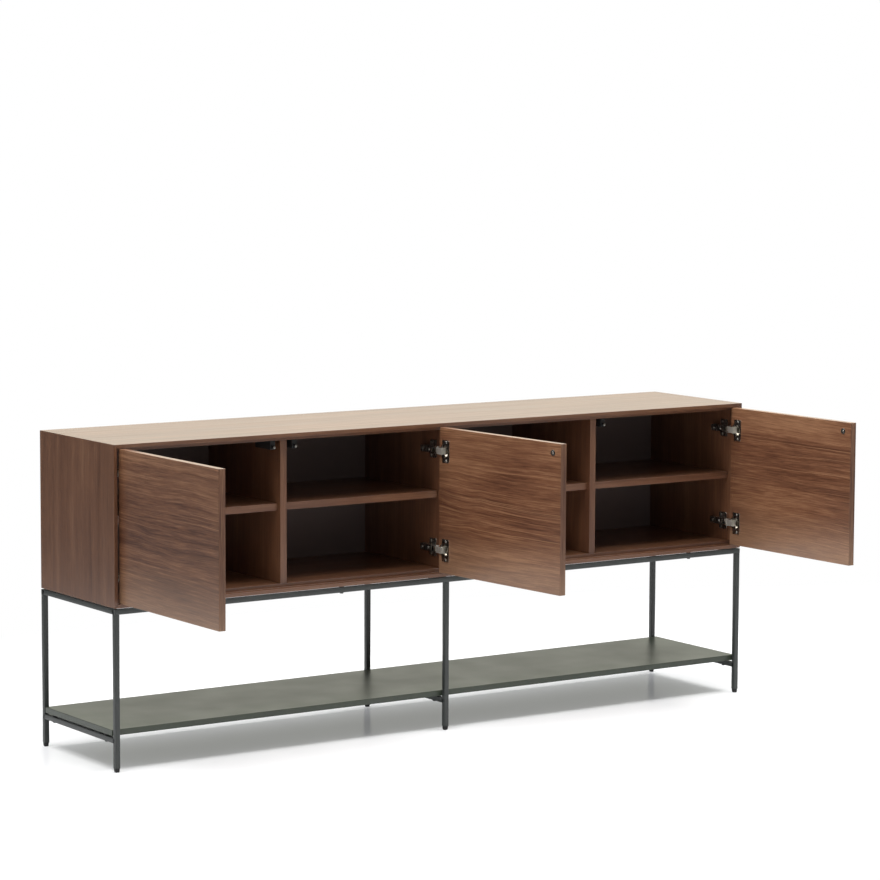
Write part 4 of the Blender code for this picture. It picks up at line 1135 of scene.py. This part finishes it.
class SIDEBOARD_OT_stage(bpy.types.Operator):
    """Makes the pale floor, the soft lamps, the surroundings and the camera"""
    bl_idname = "sideboard.stage"
    bl_label = "Stage"

    def execute(self, context):
        context.scene.view_settings.view_transform = "Standard"
        make_floor()
        make_world()
        chosen = settings("stage")
        add_lamp("overhead_lamp", place=(0.0, -0.05, 2.4), target=(0.0, -0.05, 0.0), size=(4.5, 1.7),
                 power=chosen.overhead)
        add_lamp("front_lamp", place=(-1.0, -1.1, 1.7), target=(0.1, 0.1, 0.6), size=(1.2, 0.7),
                 power=chosen.key)
        make_camera()
        return {"FINISHED"}


def rays(tree):
    """1 for what the camera sees, straight or through glass, and 1 for what it sees in a reflection."""
    path = tree.node("ShaderNodeLightPath").socket.node
    camera, glossy, through = (Wire(tree, path.outputs[name]) for name in (
        "Is Camera Ray", "Is Glossy Ray", "Is Transmission Ray"))
    return tree.math("ADD", camera, through, clamp=True), glossy


def make_floor():
    """A wide pale floor that keeps the object's shadow and fades into the white background."""
    chosen = settings("stage")
    mesh = bpy.data.meshes.new("floor")
    corners = [(x * FLOOR_REACH, y * FLOOR_REACH, 0) for x, y in ((-1, -1), (1, -1), (1, 1), (-1, 1))]
    mesh.from_pydata(corners, [], [(0, 1, 2, 3)])
    floor = linked("floor", mesh)
    material = bpy.data.materials.new("pale_floor")
    tree = fresh_tree(material)
    lit = tree.node("ShaderNodeBsdfDiffuse", {"Color": rgba((chosen.floor_colour,) * 3)})
    lift = tree.node("ShaderNodeEmission", {"Color": WHITE, "Strength": chosen.floor_glow})
    sheen = tree.node("ShaderNodeBsdfGlossy", {"Color": WHITE, "Roughness": 0.16})
    lifted = tree.node("ShaderNodeAddShader", {0: lit, 1: lift})
    near = tree.node("ShaderNodeMixShader", {0: FLOOR_SHEEN, 1: lifted, 2: sheen})
    place = tree.place()
    away = tree.node("ShaderNodeVectorMath", {0: place, 1: FLOOR_OVAL}, operation="MULTIPLY")
    oval, distance = (tree.node("ShaderNodeVectorMath", {0: way}, operation="LENGTH", out="Value")
                      for way in (away, place))
    straight, mirrored = rays(tree)
    far_light = tree.math("MAXIMUM", tree.spread(tree.parts(place)[0], -1.5, 1.5, 0.08, 0.3),
                          tree.math("MAXIMUM", straight, tree.spread(distance, *WHITE_FADE, 1.0, 0.0)))
    white = tree.node("ShaderNodeEmission", {"Color": WHITE, "Strength": far_light})
    shown = tree.node("ShaderNodeMixShader", {0: tree.spread(oval, *FLOOR_FADE), 1: near, 2: white})
    seen = tree.math("ADD", straight, mirrored, clamp=True)
    surface = tree.node("ShaderNodeMixShader", {0: seen, 1: lit, 2: shown})
    tree.node("ShaderNodeOutputMaterial", {"Surface": surface})
    mesh.materials.append(material)


def make_world():
    """White where the camera looks, and in reflections of the backdrop; a weak even light otherwise."""
    world = bpy.data.worlds.new("soft_surroundings")
    bpy.context.scene.world = world
    tree = fresh_tree(world)
    straight, mirrored = rays(tree)
    way = tree.place()
    behind = tree.node("ShaderNodeVectorMath", {0: way, 1: BACKDROP}, operation="DOT_PRODUCT", out="Value")
    backdrop = tree.math("MAXIMUM", tree.spread(behind, 0.45, 0.9),
                         tree.spread(tree.parts(way)[0], 0.0, 0.5, 0.08, 0.28))
    chosen = settings("stage")
    diffuse = tree.spread(behind, 0.2, 0.9, chosen.ambient, chosen.backdrop)
    strength = tree.math("MAXIMUM", straight, mirrored * backdrop + (1.0 - mirrored) * diffuse)
    colour = tree.mix(tree.mix(AMBIENT_TINT, MIRRORED_TINT, mirrored), WHITE, straight)
    light = tree.node("ShaderNodeBackground", {"Color": colour, "Strength": strength})
    tree.node("ShaderNodeOutputWorld", {"Surface": light})


def add_lamp(name, place, target, size, power):
    data = bpy.data.lights.new(name, "AREA")
    data.shape, data.size, data.size_y, data.energy = "RECTANGLE", *size, power
    lamp = linked(name, data)
    lamp.location = place
    lamp.rotation_euler = (Vector(target) - Vector(place)).to_track_quat("-Z", "Y").to_euler()
    lamp.visible_camera = False


def make_camera():
    data = bpy.data.cameras.new("camera")
    data.sensor_width, data.lens = 36.0, settings("stage").lens
    data.clip_end = 100.0
    camera = linked("camera", data)
    turn = Matrix.Rotation(-CAMERA_YAW, 4, "Z") @ Matrix.Rotation(math.pi / 2 - CAMERA_PITCH, 4, "X")
    camera.matrix_world = Matrix.Translation(CAMERA_PLACE) @ turn @ Matrix.Rotation(CAMERA_ROLL, 4, "Z")
    bpy.context.scene.camera = camera


OPERATORS = (
    SIDEBOARD_OT_stage, SIDEBOARD_OT_box, SIDEBOARD_OT_backs, SIDEBOARD_OT_inner_shelves, SIDEBOARD_OT_doors,
    SIDEBOARD_OT_base, SIDEBOARD_OT_low_shelf, SIDEBOARD_OT_feet, SIDEBOARD_OT_hinges, SIDEBOARD_OT_strikers,
    SIDEBOARD_OT_latches,
)


class SIDEBOARD_PT_panel(bpy.types.Panel):
    """Lists the sideboard's settings and its pieces"""
    bl_idname = "SIDEBOARD_PT_panel"
    bl_label = "Sideboard"
    bl_space_type = "VIEW_3D"
    bl_region_type = "UI"
    bl_category = "Sideboard"

    def draw(self, context):
        for name in SETTINGS:
            group = getattr(context.scene, name)
            rows = self.layout.box()
            for prop in group.bl_rna.properties:
                if prop.identifier not in ("rna_type", "name"):
                    rows.prop(group, prop.identifier)
        for operator in OPERATORS:
            self.layout.operator(operator.bl_idname)


CLASSES = (*SETTINGS.values(), *OPERATORS, SIDEBOARD_PT_panel)


def register():
    for kind in CLASSES:
        bpy.utils.register_class(kind)
    for name, group in SETTINGS.items():
        setattr(bpy.types.Scene, name, bpy.props.PointerProperty(type=group))


def unregister():
    for name in SETTINGS:
        delattr(bpy.types.Scene, name)
    for kind in reversed(CLASSES):
        bpy.utils.unregister_class(kind)


def main():
    register()
    for operator in OPERATORS:
        group, name = operator.bl_idname.split(".")
        getattr(getattr(bpy.ops, group), name)()


if __name__ == "__main__":
    main()
